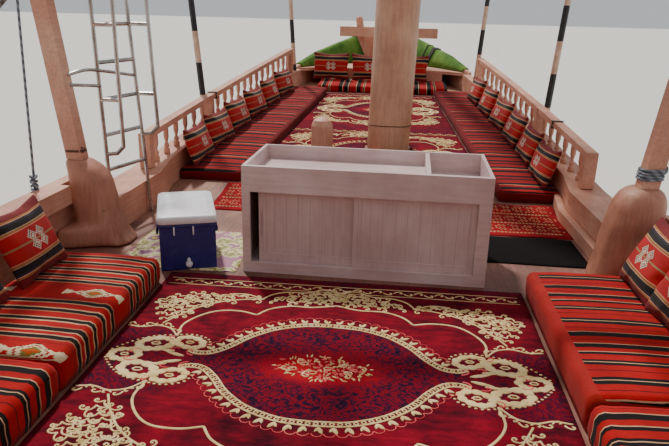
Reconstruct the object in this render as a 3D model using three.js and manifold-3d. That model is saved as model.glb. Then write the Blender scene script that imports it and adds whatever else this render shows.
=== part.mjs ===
// Timber dhow with open carpeted decks, floor seating, turned balustrades, wheelhouse and lateen yard.
// Millimetres. Origin on the waterline amidships, +Y towards the bow, +X to starboard, +Z up.
import * as THREE from 'three';
import * as BufferGeometryUtils from 'three/addons/utils/BufferGeometryUtils.js';
import Module from 'manifold-3d';

const wasm = await Module();
wasm.setup();

// Clearances
const SEAT = 0.3; // under what rests on a sloped or turned face
const RUN = 5; // between pieces that move past each other

// Hull and decks
const DECK = 950; // main deck above the waterline
const RAMP_START = 2200; // the deck is level up to here and rises towards the bow beyond it
const RAMP_SLOPE = 0.084;
const KEEL_WIDTH = 160;
const TRANSOM_Y = -8900;
const BOW_Y = 10150; // the planking ends on the stem here
const BULWARK = { wall: 60, height: 320, ribDepth: 90, ribWidth: 90, ribPitch: 450 };
const CAP = { outboard: 20, inboard: 150, thick: 130 };
const CAP_TOP = DECK + BULWARK.height + CAP.thick;
const SILL = { start: { port: 1270, starboard: 1060 }, end: 7640, height: 262, waist: 165, fore: 100 };
const RAIL = { low: 1530, width: 90, thick: 55, newel: 105, pitch: 252, middle: 3950 };

// Hull stations. y, half-breadth at the deck, half-breadth at the waterline, underside height
const HULL = [
  { y: TRANSOM_Y, deck: 1450, water: 1050, keel: -150 },
  { y: -8000, deck: 1660, water: 1380, keel: -420 },
  { y: -6500, deck: 1890, water: 1720, keel: -780 },
  { y: -4500, deck: 2050, water: 1930, keel: -1000 },
  { y: -2000, deck: 2120, water: 2030, keel: -1080 },
  { y: 0, deck: 2130, water: 2040, keel: -1080 },
  { y: RAMP_START, deck: 2070, water: 1900, keel: -1050 },
  { y: 4000, deck: 1960, water: 1650, keel: -1000 },
  { y: 5800, deck: 1790, water: 1250, keel: -920 },
  { y: 7300, deck: 1560, water: 820, keel: -800 },
  { y: 8400, deck: 1170, water: 430, keel: -520 },
  { y: 9200, deck: 760, water: 200, keel: -60 },
  { y: 9800, deck: 400, water: 160, keel: 560 },
  { y: BOW_Y, deck: 150, water: 110, keel: 1050 },
];
// Bow bulwark. y, half-breadth outside at the top, top height
const BOW_SHEER = [
  { y: 7660, half: 1480, top: 1700 },
  { y: 8400, half: 1190, top: 1900 },
  { y: 9100, half: 830, top: 2050 },
  { y: 9540, half: 578, top: 2150 },
  { y: 9800, half: 430, top: 2150 },
  { y: 10120, half: 190, top: 2190 },
];
const PLATFORM = { boardY: 7900, boardHalf: 1030, top: 1690, thick: 50 }; // boards inside the bow

// Spars. The mast leans a little to starboard
const MAST = { x: 205, y: 4120, foot: 240, head: 120, taper: 3400, top: 9700, lean: 0.0225 };
const YARD = { height: 8300, fore: [9650, 3650], aft: [-3000, 14240], radius: 105, tip: 45, roll: 150 };
const STAYS = { hounds: 6800, feet: [-1450, -1700], radius: 11 };

// Awning frame of timber on raked posts
const FRAME = { half: 2300, bottom: 3250, beam: 120, slats: [-760, 0, 760] };
const CROSSBEAMS = [1100, -900, -2750, -4550];
const FRAME_POST = { front: 55, aft: 50, head: 2200 }; // half widths, and where the front posts end

// Deckhouse aft
const HOUSE = { front: -4700, back: -7000, half: 1300, height: 2050, wall: 60, roof: 70, eaves: 160 };

// Colours as the eye sees them, with roughness and metalness
const FINISHES = {
  timber: ['#e2b49c', 0.55, 0],
  mastPaint: ['#d0ac94', 0.5, 0],
  cabinetPaint: ['#d8c4c4', 0.5, 0],
  bottomPaint: ['#7c4a3c', 0.7, 0],
  turf: ['#4e7a2a', 0.95, 0],
  stripe: ['#c8141a', 0.9, 0],
  carpet: ['#8e0b25', 0.95, 0],
  mesh: ['#241c1e', 0.9, 0],
  mat: ['#c9a37c', 0.8, 0],
  steel: ['#b8b8b8', 0.25, 1],
  bronze: ['#9a6b3a', 0.4, 1],
  poleBlack: ['#15151a', 0.5, 0],
  coolBlue: ['#1e1f6e', 0.45, 0],
  coolWhite: ['#e8eaf0', 0.45, 0],
  canvas: ['#dccfb6', 0.9, 0],
  rope: ['#8c8a80', 0.9, 0],
  spar: ['#b08a62', 0.6, 0],
};

const SIDES = { port: -1, starboard: 1 };
const boat = new THREE.Group();

// Adds one named piece with its own material
function piece(name, geometry, finish) {
  const [color, roughness, metalness] = FINISHES[finish];
  const material = new THREE.MeshStandardMaterial({ color, roughness, metalness });
  const mesh = new THREE.Mesh(geometry, material);
  mesh.name = name;
  boat.add(mesh);
}

// Joining and cutting
function solid(geometry) {
  let bare = geometry.clone();
  bare.deleteAttribute('normal');
  bare.deleteAttribute('uv');
  bare = BufferGeometryUtils.mergeVertices(bare, 1e-3);
  const vertProperties = new Float32Array(bare.attributes.position.array);
  const triVerts = new Uint32Array(bare.index.array);
  return new wasm.Manifold(new wasm.Mesh({ numProp: 3, vertProperties, triVerts }));
}

function meshOf(manifold) {
  const mesh = manifold.getMesh();
  const geometry = new THREE.BufferGeometry();
  geometry.setAttribute('position', new THREE.BufferAttribute(mesh.vertProperties, 3));
  geometry.setIndex(new THREE.BufferAttribute(mesh.triVerts, 1));
  return geometry;
}

function join(parts) {
  const solids = parts.map(solid);
  return meshOf(solids.slice(1).reduce((sum, next) => sum.add(next), solids[0]));
}

function cut(body, tools) {
  return meshOf(tools.map(solid).reduce((rest, tool) => rest.subtract(tool), solid(body)));
}

// A box between two corners
function block([x0, y0, z0], [x1, y1, z1]) {
  const box = new THREE.BoxGeometry(Math.abs(x1 - x0), Math.abs(y1 - y0), Math.abs(z1 - z0));
  return box.translate((x0 + x1) / 2, (y0 + y1) / 2, (z0 + z1) / 2);
}

// An upright cylinder standing on z
function drum(x, y, z, height, radius, sides = 16) {
  const cylinder = new THREE.CylinderGeometry(radius, radius, height, sides).rotateX(Math.PI / 2);
  return cylinder.translate(x, y, z + height / 2);
}

// A closed skin through rings of equal count, capped at both ends
function loft(rings) {
  const count = rings[0].length;
  const points = rings.flat();
  const triangles = [];
  for (let ring = 0; ring < rings.length - 1; ring += 1) {
    for (let i = 0; i < count; i += 1) {
      const a = ring * count + i;
      const b = ring * count + ((i + 1) % count);
      triangles.push([a, b, a + count], [b, b + count, a + count]);
    }
  }
  for (const ring of [0, rings.length - 1]) {
    const [u, v] = widestPlane(rings[ring]);
    const flat = rings[ring].map((p) => new THREE.Vector2(p[u], p[v]));
    const clockwise = THREE.ShapeUtils.area(flat) < 0;
    const order = flat.map((_, i) => (clockwise ? count - 1 - i : i));
    const faces = THREE.ShapeUtils.triangulateShape(order.map((i) => flat[i]), []);
    for (const face of faces) {
      const corners = face.map((i) => ring * count + order[i]);
      triangles.push((ring === 0) === clockwise ? corners : corners.reverse());
    }
  }
  const inward = signedVolume(points, triangles) < 0;
  const index = triangles.map(([a, b, c]) => (inward ? [a, c, b] : [a, b, c])).flat();
  const geometry = new THREE.BufferGeometry();
  geometry.setAttribute('position', new THREE.Float32BufferAttribute(points.flat(), 3));
  geometry.setIndex(index);
  return geometry;
}

// The two axes of the plane in which a ring has its largest area
function widestPlane(ring) {
  const planes = [[0, 1], [1, 2], [2, 0]];
  const area = ([u, v]) => Math.abs(ring.reduce((sum, p, i) => {
    const q = ring[(i + 1) % ring.length];
    return sum + p[u] * q[v] - q[u] * p[v];
  }, 0));
  return planes.sort((a, b) => area(b) - area(a))[0];
}

function signedVolume(points, triangles) {
  return triangles.reduce((sum, [a, b, c]) => {
    const [p, q, r] = [a, b, c].map((i) => new THREE.Vector3(...points[i]));
    return sum + p.dot(q.cross(r));
  }, 0);
}

// A tapered bar along a path, its sections square to the path
function bar(path, radii, sides, turn = 0) {
  const up = new THREE.Vector3(0, 0, 1);
  return loft(path.map((point, i) => {
    const ahead = new THREE.Vector3(...path[Math.min(i + 1, path.length - 1)]);
    const behind = new THREE.Vector3(...path[Math.max(i - 1, 0)]);
    const spin = new THREE.Quaternion().setFromUnitVectors(up, ahead.sub(behind).normalize());
    return Array.from({ length: sides }, (_, k) => {
      const angle = (2 * Math.PI * k) / sides + turn;
      const corner = new THREE.Vector3(Math.cos(angle), Math.sin(angle), 0).multiplyScalar(radii[i]);
      return corner.applyQuaternion(spin).add(new THREE.Vector3(...point)).toArray();
    });
  }));
}

// Straight-line reading of one column of a table at y
function along(table, column, y) {
  const above = table.findIndex((row) => y <= row.y);
  if (above === -1) return table[table.length - 1][column];
  if (above === 0) return table[0][column];
  const [low, high] = [table[above - 1], table[above]];
  return low[column] + ((high[column] - low[column]) * (y - low.y)) / (high.y - low.y);
}

const breadthAt = (y) => along(HULL, 'deck', y);
const deckAt = (y) => DECK + RAMP_SLOPE * Math.max(0, y - RAMP_START);
const seatAt = (y) => deckAt(y) + (y > RAMP_START ? SEAT : 0);

// Centre line of the balustrades, a shallow curve that closes towards the bow
function railAt(y) {
  const ahead = (y - RAMP_START) / 1000;
  return 1930 - 34 * ahead - 10.5 * ahead * ahead;
}

// Top of the balustrade, which rises towards the bow a little more than the deck does
function railTop(y) {
  const ahead = (y - RAMP_START) / 1000;
  return RAIL.low + 75 * ahead + 3.5 * ahead * ahead;
}

// Inner edge of the sill: broad in the waist, narrower along the balustrade
function sillInner(y) {
  const narrowed = Math.min(1, Math.max(0, (y - 2150) / 450));
  return railAt(y) - SILL.waist + (SILL.waist - SILL.fore) * narrowed;
}

// Every station of a table between two ends, with steps in between
function stations(from, to, pitch, table = HULL) {
  const marks = [from, ...table.map((row) => row.y).filter((y) => y > from && y < to), to];
  const inner = marks.slice(0, -1).flatMap((low, i) => {
    const count = Math.ceil((marks[i + 1] - low) / pitch);
    return Array.from({ length: count }, (_, k) => low + ((marks[i + 1] - low) * k) / count);
  });
  return [...inner, to];
}

// A plank that follows the side: section corners given as functions of y
function plank(ys, inner, outer, bottom, top, side) {
  return loft(ys.map((y) => [
    [side * inner(y), y, bottom(y)],
    [side * outer(y), y, bottom(y)],
    [side * outer(y), y, top(y)],
    [side * inner(y), y, top(y)],
  ]));
}

// Hull: one decked body. Each section is a rounded floor up to the bilge line and a flared topside
function hull() {
  const bilgeSteps = 6;
  return loft(HULL.map((station) => {
    const deck = deckAt(station.y);
    const bilge = Math.max(0, station.keel + 0.3 * (deck - station.keel));
    const half = KEEL_WIDTH / 2;
    const floor = Array.from({ length: bilgeSteps + 1 }, (_, k) => {
      const angle = (Math.PI / 2) * (k / bilgeSteps);
      const rise = 0.55 * (1 - Math.cos(angle)) + 0.45 * (k / bilgeSteps);
      const width = half + (station.water - half) * Math.sin(angle);
      return [Math.max(half, width), station.keel + (bilge - station.keel) * rise];
    });
    const middle = [station.water + 0.62 * (station.deck - station.water), (bilge + deck) / 2];
    const side = [...floor, middle, [station.deck, deck]];
    const starboard = side.map(([x, z]) => [x, station.y, z]);
    const port = side.map(([x, z]) => [-x, station.y, z]).reverse();
    return [...starboard, ...port];
  }));
}
piece('hull', hull(), 'timber');

// Keel, stem and sternpost in one profile, with the propeller aperture, shaft bore and rudder gudgeons
const SHAFT = { z: -880, radius: 25, bore: 25.6 };
const POST_AFT = TRANSOM_Y - 150;
const RUDDER = { axisY: POST_AFT - 60, half: 40, lead: POST_AFT - 25, pin: 25, eye: 25.7 };
const GUDGEONS = [-1180, -300, 560];
const GUDGEON_HEIGHT = 80;

function profileSlab(outline, width, holes = []) {
  const shape = new THREE.Shape(outline.map(([y, z]) => new THREE.Vector2(y, z)));
  shape.holes = holes.map((hole) => new THREE.Path(hole.map(([y, z]) => new THREE.Vector2(y, z))));
  const slab = new THREE.ExtrudeGeometry(shape, { depth: width, bevelEnabled: false });
  return slab.translate(0, 0, -width / 2).rotateY(Math.PI / 2).rotateX(Math.PI / 2);
}

function keel() {
  const top = HULL.map((station) => [station.y, station.keel - SEAT]);
  const outline = [
    ...top,
    [BOW_Y + SEAT, 1050 - SEAT],
    [BOW_Y + SEAT, 2280],
    [BOW_Y + 250, 2360],
    [BOW_Y + 330, 2180],
    [BOW_Y + 200, 1150],
    [10020, 500],
    [9250, -420],
    [8300, -930],
    [6900, -1230],
    [POST_AFT, -1500],
    [POST_AFT, 900],
    [TRANSOM_Y - SEAT, 900],
    [TRANSOM_Y - SEAT, -150 - SEAT],
  ];
  const aperture = [[-8050, -1360], [-8150, -520], [-8780, -400], [-8780, -1360]];
  const lugs = GUDGEONS.map((z) => block([-35, POST_AFT - 95, z], [35, POST_AFT + 20, z + GUDGEON_HEIGHT]));
  const slab = profileSlab(outline, KEEL_WIDTH, [aperture]);
  const eyes = GUDGEONS.map((z) => drum(0, RUDDER.axisY, z - 10, GUDGEON_HEIGHT + 20, RUDDER.eye, 24));
  const bore = new THREE.CylinderGeometry(SHAFT.bore, SHAFT.bore, 520, 24).translate(0, -7990, SHAFT.z);
  return cut(join([slab, ...lugs]), [...eyes, bore]);
}
piece('keel_and_stem', keel(), 'bottomPaint');

// Bulwarks aft, ribbed inside, with their cap rails. The ends stop at the timber heads
const BULWARK_END = { port: 1200, starboard: 940 };
const CAP_END = { port: 930, starboard: 660 };
const RIBS_END = 780;
for (const [name, side] of Object.entries(SIDES)) {
  const ys = stations(TRANSOM_Y, BULWARK_END[name], 2500);
  const inner = (y) => breadthAt(y) - BULWARK.wall;
  const top = () => DECK + BULWARK.height;
  const wall = plank(ys, inner, breadthAt, () => DECK, top, side);
  const ribs = [];
  for (let y = TRANSOM_Y + 350; y < RIBS_END; y += BULWARK.ribPitch) {
    const face = breadthAt(y) - BULWARK.wall;
    const from = [side * (face - BULWARK.ribDepth), y, DECK];
    ribs.push(block(from, [side * (face + 25), y + BULWARK.ribWidth, DECK + BULWARK.height]));
  }
  piece(`bulwark_${name}`, join([wall, ...ribs]), 'timber');
  const capInner = (y) => breadthAt(y) - CAP.inboard;
  const capOuter = (y) => breadthAt(y) + CAP.outboard;
  const wide = plank(stations(TRANSOM_Y, CAP_END[name], 2500), capInner, capOuter, top, () => CAP_TOP, side);
  const pastHead = [CAP_END[name] - 10, BULWARK_END[name]];
  const narrow = plank(pastHead, (y) => inner(y) - 12, capOuter, top, () => CAP_TOP, side);
  piece(`cap_rail_${name}`, join([wide, narrow]), 'timber');
}
const sternHalf = breadthAt(TRANSOM_Y) - BULWARK.wall - SEAT;
const sternCapHalf = breadthAt(TRANSOM_Y) - CAP.inboard - SEAT;
piece('stern_board', join([
  block([-sternHalf, TRANSOM_Y, DECK], [sternHalf, TRANSOM_Y + BULWARK.wall, DECK + BULWARK.height]),
  block([-sternCapHalf, TRANSOM_Y - 20, DECK + BULWARK.height - 5], [sternCapHalf, TRANSOM_Y + 180, CAP_TOP]),
]), 'timber');

// Sills forward of the timber heads, and the turned balustrades on them
const BALUSTRADE = { port: { from: 2225, to: 7400 }, starboard: { from: 2225, to: 7030 } };
const sillTop = (y) => deckAt(y) + SILL.height;

function baluster(x, y, height) {
  const beads = [[31, 0], [31, 0.13], [19, 0.2], [28, 0.27], [14, 0.38], [21, 0.5], [27, 0.58], [27, 0.86], [19, 0.93]];
  const turned = [...beads, [27, 1]].map(([r, share]) => [r, share * height]);
  const profile = [[0, 0], ...turned, [0, height]].map(([r, z]) => new THREE.Vector2(r, z));
  return new THREE.LatheGeometry(profile, 8).rotateX(Math.PI / 2).translate(x, y, sillTop(y + 31) + SEAT);
}

for (const [name, side] of Object.entries(SIDES)) {
  const ys = [...stations(SILL.start[name], SILL.end, 900), 2150, 2600].sort((a, b) => a - b);
  piece(`sill_${name}`, plank(ys, sillInner, breadthAt, seatAt, sillTop, side), 'timber');

  const { from, to } = BALUSTRADE[name];
  const railLow = (y) => railTop(y) - RAIL.thick;
  const left = (y) => railAt(y) - RAIL.width / 2;
  const right = (y) => railAt(y) + RAIL.width / 2;
  const parts = [plank(stations(from, to, 900), left, right, railLow, railTop, side)];
  const half = RAIL.newel / 2;
  for (const y of [from + half, RAIL.middle, to - half]) {
    const foot = sillTop(y + half) + SEAT;
    const low = [side * railAt(y) - half, y - half, foot];
    parts.push(block(low, [side * railAt(y) + half, y + half, railTop(y - half) - 2]));
  }
  for (let y = from + RAIL.pitch; y < to - RAIL.newel; y += RAIL.pitch) {
    if (Math.abs(y - RAIL.middle) > RAIL.newel) {
      parts.push(baluster(side * railAt(y), y, railLow(y) + 12 - sillTop(y)));
    }
  }
  piece(`balustrade_${name}`, join(parts), 'timber');
}

// Bow bulwarks sweeping up to the stem, with a turf runner over each
const bowSteps = [...new Set([...BOW_SHEER, ...HULL].map((row) => row.y))]
  .filter((y) => y >= BOW_SHEER[0].y && y <= BOW_SHEER[BOW_SHEER.length - 1].y)
  .sort((a, b) => a - b);
for (const [name, side] of Object.entries(SIDES)) {
  piece(`bow_bulwark_${name}`, loft(bowSteps.map((y) => {
    const half = along(BOW_SHEER, 'half', y);
    const top = along(BOW_SHEER, 'top', y);
    const section = [
      [breadthAt(y) - BULWARK.wall, deckAt(y) + SEAT],
      [breadthAt(y), deckAt(y) + SEAT],
      [half, top],
      [half - BULWARK.wall, top],
    ];
    return section.map(([x, z]) => [side * x, y, z]);
  })), 'timber');

  const turfEnds = [7800, 8400, 9100, 9500];
  const thick = 16;
  piece(`turf_${name}`, loft(turfEnds.map((y) => {
    const half = along(BOW_SHEER, 'half', y) + 0.6;
    const inner = half - BULWARK.wall - 1.2;
    const top = along(BOW_SHEER, 'top', y);
    const hem = inner - 0.45 * (top - PLATFORM.top);
    const section = [
      [half, top - 120],
      [half, top + 0.6],
      [inner, top + 0.6],
      [hem, PLATFORM.top + 2],
      [hem - thick, PLATFORM.top + 2],
      [inner - 8, top + thick],
      [half + thick, top + thick],
      [half + thick, top - 120],
    ];
    return section.map(([x, z]) => [side * x, y, z]);
  })), 'turf');
}

// Fore platform inside the bow, its board across the deck, and the beam over the stem
function bowPlatform() {
  const { boardY, boardHalf, top, thick } = PLATFORM;
  const outer = [7680, 8400, 9200, 9800, 9980].map((y) => [breadthAt(y) - BULWARK.wall - 12, y]);
  const port = outer.map(([x, y]) => [-x, y]).reverse();
  const plan = [[boardHalf, boardY], ...outer, ...port, [-boardHalf, boardY]];
  const shape = new THREE.Shape(plan.map(([x, y]) => new THREE.Vector2(x, y)));
  const boards = new THREE.ExtrudeGeometry(shape, { depth: thick, bevelEnabled: false });
  const foot = deckAt(boardY + 40) + SEAT;
  const front = block([10 - boardHalf, boardY, foot], [boardHalf - 10, boardY + 40, top - thick + 10]);
  return join([boards.translate(0, 0, top - thick), front]);
}
piece('bow_platform', bowPlatform(), 'timber');
piece('bow_crossbeam', join([
  block([-870, 9560, 2150], [990, 9730, 2330]),
  bar([[-480, 9640, 2300], [-500, 9615, 2440], [-515, 9590, 2500], [-520, 9583, 2520]], [68, 70, 60, 25], 10),
]), 'timber');

// Timber heads: massive rounded posts where the bulwark ends, each spreading into a knee at its foot.
// A section is its height over the deck, its inner and outer edges, and its half width along the boat
const HEADS = {
  port: {
    y: 1090,
    sections: [
      [0, 1575, 1900, 170],
      [70, 1640, 1940, 165],
      [200, 1690, 1990, 158],
      [344, 1717, 2012, 150],
      [482, 1745, 2018, 140],
      [554, 1800, 2030, 120],
      [610, 1885, 2045, 88],
    ],
  },
  starboard: {
    y: 880,
    sections: [
      [0, 1600, 1900, 175],
      [167, 1636, 1950, 172],
      [400, 1669, 2000, 165],
      [545, 1700, 2005, 150],
      [610, 1735, 1990, 128],
      [645, 1800, 1960, 95],
    ],
  },
};
const headTop = ({ sections }) => {
  const [height, inner, outer] = sections[sections.length - 1];
  return [(inner + outer) / 2, DECK + height];
};
const KNEE = { height: { port: 150, starboard: 310 }, inner: 1700, spread: 130 };
for (const [name, side] of Object.entries(SIDES)) {
  const { y: along, sections } = HEADS[name];
  const post = loft(sections.map(([height, innerEdge, outerEdge, deep]) => {
    const [x, half] = [(innerEdge + outerEdge) / 2, (outerEdge - innerEdge) / 2];
    const quarter = [[0.6, -1], [1, -0.5], [1, 0.5], [0.6, 1]];
    const corners = [...quarter, ...quarter.map(([u, v]) => [-u, -v])];
    return corners.map(([u, v]) => [side * (x + u * half), along + v * deep, DECK + height]);
  }));
  // The foot spreads aft and out to the bulwark as a low knee
  const outer = (y) => breadthAt(y) - BULWARK.wall - SEAT;
  const [root, aft, fore] = [along - 150 - KNEE.spread, along - 150, along + 120];
  const plan = [[KNEE.inner, aft], [outer(root), root], [outer(fore), fore], [KNEE.inner, fore]];
  const knee = loft([DECK, DECK + KNEE.height[name]].map((z) => plan.map(([x, y]) => [side * x, y, z])));
  piece(`timber_head_${name}`, join([post, knee]), 'timber');
}

// Awning frame: raked posts on the timber heads, posts on the cap rails aft, and open beams above
function awningFrame() {
  const { half, bottom, beam, slats } = FRAME;
  const square = Math.PI / 4;
  const [foremost, aftmost] = [CROSSBEAMS[0], CROSSBEAMS[CROSSBEAMS.length - 1]];
  const post = (from, to, w) => loft([from, to].map(([x, y, z]) => [
    [x - w, y - w, z],
    [x + w, y - w, z],
    [x + w, y + w, z],
    [x - w, y + w, z],
  ]));
  const parts = [];
  for (const [name, side] of Object.entries(SIDES)) {
    const [footX, footZ] = headTop(HEADS[name]);
    const edge = side * half;
    const joint = bottom + beam / 2;
    const foot = [side * footX, HEADS[name].y, footZ + SEAT];
    parts.push(post(foot, [side * FRAME_POST.head, foremost, bottom + beam], FRAME_POST.front));
    for (const y of CROSSBEAMS.slice(2)) {
      const base = side * (breadthAt(y) - 60);
      parts.push(post([base, y, CAP_TOP + SEAT], [edge, y, joint], FRAME_POST.aft));
    }
    const low = [edge - beam / 2, aftmost - 80, bottom];
    parts.push(block(low, [edge + beam / 2, foremost + 120, bottom + beam]));
  }
  const top = bottom + beam;
  for (const y of CROSSBEAMS) {
    parts.push(block([-half - 130, y - 50, top - 10], [half + 130, y + 50, top + 90]));
  }
  for (const x of slats) {
    const z = top + 115;
    parts.push(bar([[x, aftmost - 120, z], [x, foremost + 150, z]], [45, 45], 4, square));
  }
  return join(parts);
}
piece('awning_frame', awningFrame(), 'timber');

// Striped awning stanchions on the sills. x at the foot, y, and how far the head stands outboard
const POLES = {
  pole_fore_port: { side: -1, x: 1975, y: 4060, out: 180 },
  pole_fore_starboard: { side: 1, x: 1975, y: 4060, out: 130 },
  pole_bow_port: { side: -1, x: 1425, y: 7520, out: 110 },
  pole_bow_starboard: { side: 1, x: 1480, y: 7080, out: 110 },
};
for (const [name, { side, x, y, out }] of Object.entries(POLES)) {
  const inside = Math.min(x, breadthAt(y) - 42);
  const foot = sillTop(y + 36) + SEAT;
  const ring = (cx, z, r) => Array.from({ length: 12 }, (_, k) => {
    const angle = (2 * Math.PI * k) / 12;
    return [cx + r * Math.cos(angle), y + r * Math.sin(angle), z];
  });
  piece(name, loft([
    ring(side * inside, foot, 36),
    ring(side * (inside + out), 3420, 32),
    ring(side * (inside + out), 3440, 20),
  ]), 'poleBlack');
}

// Mast with its base band, hounds and sheave block, and the domed samson post beside it
const mastX = (z) => MAST.x + MAST.lean * (z - DECK);
function mastRadius(z) {
  const up = Math.max(0, z - MAST.taper) / (MAST.top - MAST.taper);
  return MAST.foot + (MAST.head - MAST.foot) * up ** 0.9;
}
const MAST_SIDES = 24;
function mastRing(z, radius, slope = 0, sides = MAST_SIDES) {
  return Array.from({ length: sides }, (_, k) => {
    const angle = (2 * Math.PI * k) / sides;
    const y = MAST.y + radius * Math.sin(angle);
    return [mastX(z) + radius * Math.cos(angle), y, z + slope * (y - MAST.y)];
  });
}
const COLLAR = { low: YARD.height - 130, high: YARD.height + 130, radius: 150 };
const mastFoot = deckAt(MAST.y) + SEAT;
const sheaveX = mastX(MAST.top);
piece('mast', join([
  loft([
    mastRing(mastFoot, MAST.foot, RAMP_SLOPE),
    mastRing(MAST.taper, MAST.foot),
    mastRing(MAST.taper + 900, mastRadius(MAST.taper + 900)),
    mastRing(STAYS.hounds, mastRadius(STAYS.hounds)),
    mastRing(STAYS.hounds, mastRadius(STAYS.hounds) + 22),
    mastRing(STAYS.hounds + 120, mastRadius(STAYS.hounds) + 22),
    mastRing(STAYS.hounds + 120, mastRadius(STAYS.hounds)),
    mastRing(COLLAR.low, mastRadius(COLLAR.low)),
    mastRing(COLLAR.low, COLLAR.radius),
    mastRing(COLLAR.high, COLLAR.radius),
    mastRing(COLLAR.high, mastRadius(COLLAR.high)),
    mastRing(MAST.top, MAST.head),
  ]),
  block([sheaveX - 70, MAST.y - 190, MAST.top - 330], [sheaveX + 70, MAST.y + 190, MAST.top - 60]),
]), 'mastPaint');
const POST = { x: -520, y: 3800, radius: 120, height: 540 };
const postRing = (z, r, slope = 0) => Array.from({ length: 16 }, (_, k) => {
  const angle = (2 * Math.PI * k) / 16;
  const y = POST.y + r * Math.sin(angle);
  return [POST.x + r * Math.cos(angle), y, z + slope * (y - POST.y)];
});
piece('samson_post', loft([
  postRing(deckAt(POST.y) + SEAT, POST.radius, RAMP_SLOPE),
  postRing(DECK + POST.height - 90, POST.radius),
  postRing(DECK + POST.height - 30, POST.radius * 0.8),
  postRing(DECK + POST.height, POST.radius * 0.35),
]), 'timber');

// Lateen yard on the port side of the mast, carried by a parrel round the collar, with the furled sail
function yardAxis(x) {
  const [foreY, foreZ] = YARD.fore;
  const [aftY, aftZ] = YARD.aft;
  return [0, 0.25, 0.5, 0.75, 1].map((t) => [x, foreY + (aftY - foreY) * t, foreZ + (aftZ - foreZ) * t]);
}
const yardX = mastX(YARD.height) - COLLAR.radius - YARD.radius - 40;
const yardRadii = [YARD.tip, 85, YARD.radius, 80, YARD.tip];
function parrel() {
  const rings = [COLLAR.low + 40, COLLAR.high - 40];
  const outer = loft(rings.map((z) => mastRing(z, COLLAR.radius + 45)));
  return cut(outer, [loft([rings[0] - 5, rings[1] + 5].map((z) => mastRing(z, COLLAR.radius + 0.5, 0, 72)))]);
}
piece('yard', join([bar(yardAxis(yardX), yardRadii, 12), parrel()]), 'spar');
const rollPath = yardAxis(yardX - 60).map(([x, y, z]) => [x, y - 90, z - 130]);
piece('furled_sail', cut(bar(rollPath, [50, 120, YARD.roll, 125, 50], 12), [
  bar(yardAxis(yardX), yardRadii.map((r) => r + 0.6), 12),
  loft([COLLAR.low - 400, COLLAR.high + 400].map((z) => mastRing(z, COLLAR.radius + 60))),
]), 'canvas');

// Standing rigging: a pair of stays a side, from the hounds to a plank on the cap rail
for (const [name, side] of Object.entries(SIDES)) {
  const [near, far] = STAYS.feet;
  const at = (y) => side * (breadthAt(y) - 90);
  const headX = mastX(STAYS.hounds + 60) + side * (mastRadius(STAYS.hounds) + 34);
  const parts = STAYS.feet.map((y, i) => {
    const path = [[at(y), y, CAP_TOP + 20], [headX, MAST.y + 25 - 50 * i, STAYS.hounds + 60]];
    return bar(path, [STAYS.radius, STAYS.radius], 8);
  });
  const plankEnds = [[at(far) - 45, far - 90, CAP_TOP], [at(near) + 45, near + 90, CAP_TOP + 45]];
  piece(`stays_${name}`, join([block(...plankEnds), ...parts]), 'rope');
}

// Boarding ladder inside the port bulwark gap: two stiles, rungs and offset handrails
function ladder() {
  const radius = 16;
  const tube = (path) => bar(path, path.map(() => radius), 8);
  const tilt = 0.9; // how far a leaning tube's lower edge dips below its centre
  const stiles = [
    { foot: [-1887, 1400, sillTop(1400) + SEAT + tilt], head: [-1925, 1400, 3150] },
    { foot: [-1742, 1830, DECK + SEAT + tilt], head: [-1860, 1830, 3150] },
  ];
  const at = ({ foot, head }, z) => {
    const t = (z - foot[2]) / (head[2] - foot[2]);
    return [foot[0] + (head[0] - foot[0]) * t, foot[1] + (head[1] - foot[1]) * t, z];
  };
  const parts = stiles.map(({ foot, head }) => tube([foot, head]));
  const rungs = [1402, 1669, 1936, 2203, 2470, 2737, 3004];
  for (const z of rungs) {
    parts.push(tube([at(stiles[0], z), at(stiles[1], z)]));
  }
  // Each handrail stands inboard on short arms and hooks back to its stile at the foot
  const inboard = ([x, y, z], d) => [x + d, y, z];
  for (const [stile, low] of [[stiles[0], 1565], [stiles[1], 1650]]) {
    parts.push(tube([at(stile, low - 40), inboard(at(stile, low - 30), 85), inboard(at(stile, low + 25), 140)]));
    parts.push(tube([inboard(at(stile, low + 20), 140), inboard(at(stile, 3100), 170)]));
    for (const z of [1936, 2470, 3004]) {
      parts.push(tube([at(stile, z), inboard(at(stile, z), 130 + (40 * (z - low)) / (3100 - low))]));
    }
  }
  return join(parts);
}
piece('boarding_ladder', ladder(), 'steel');

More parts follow.
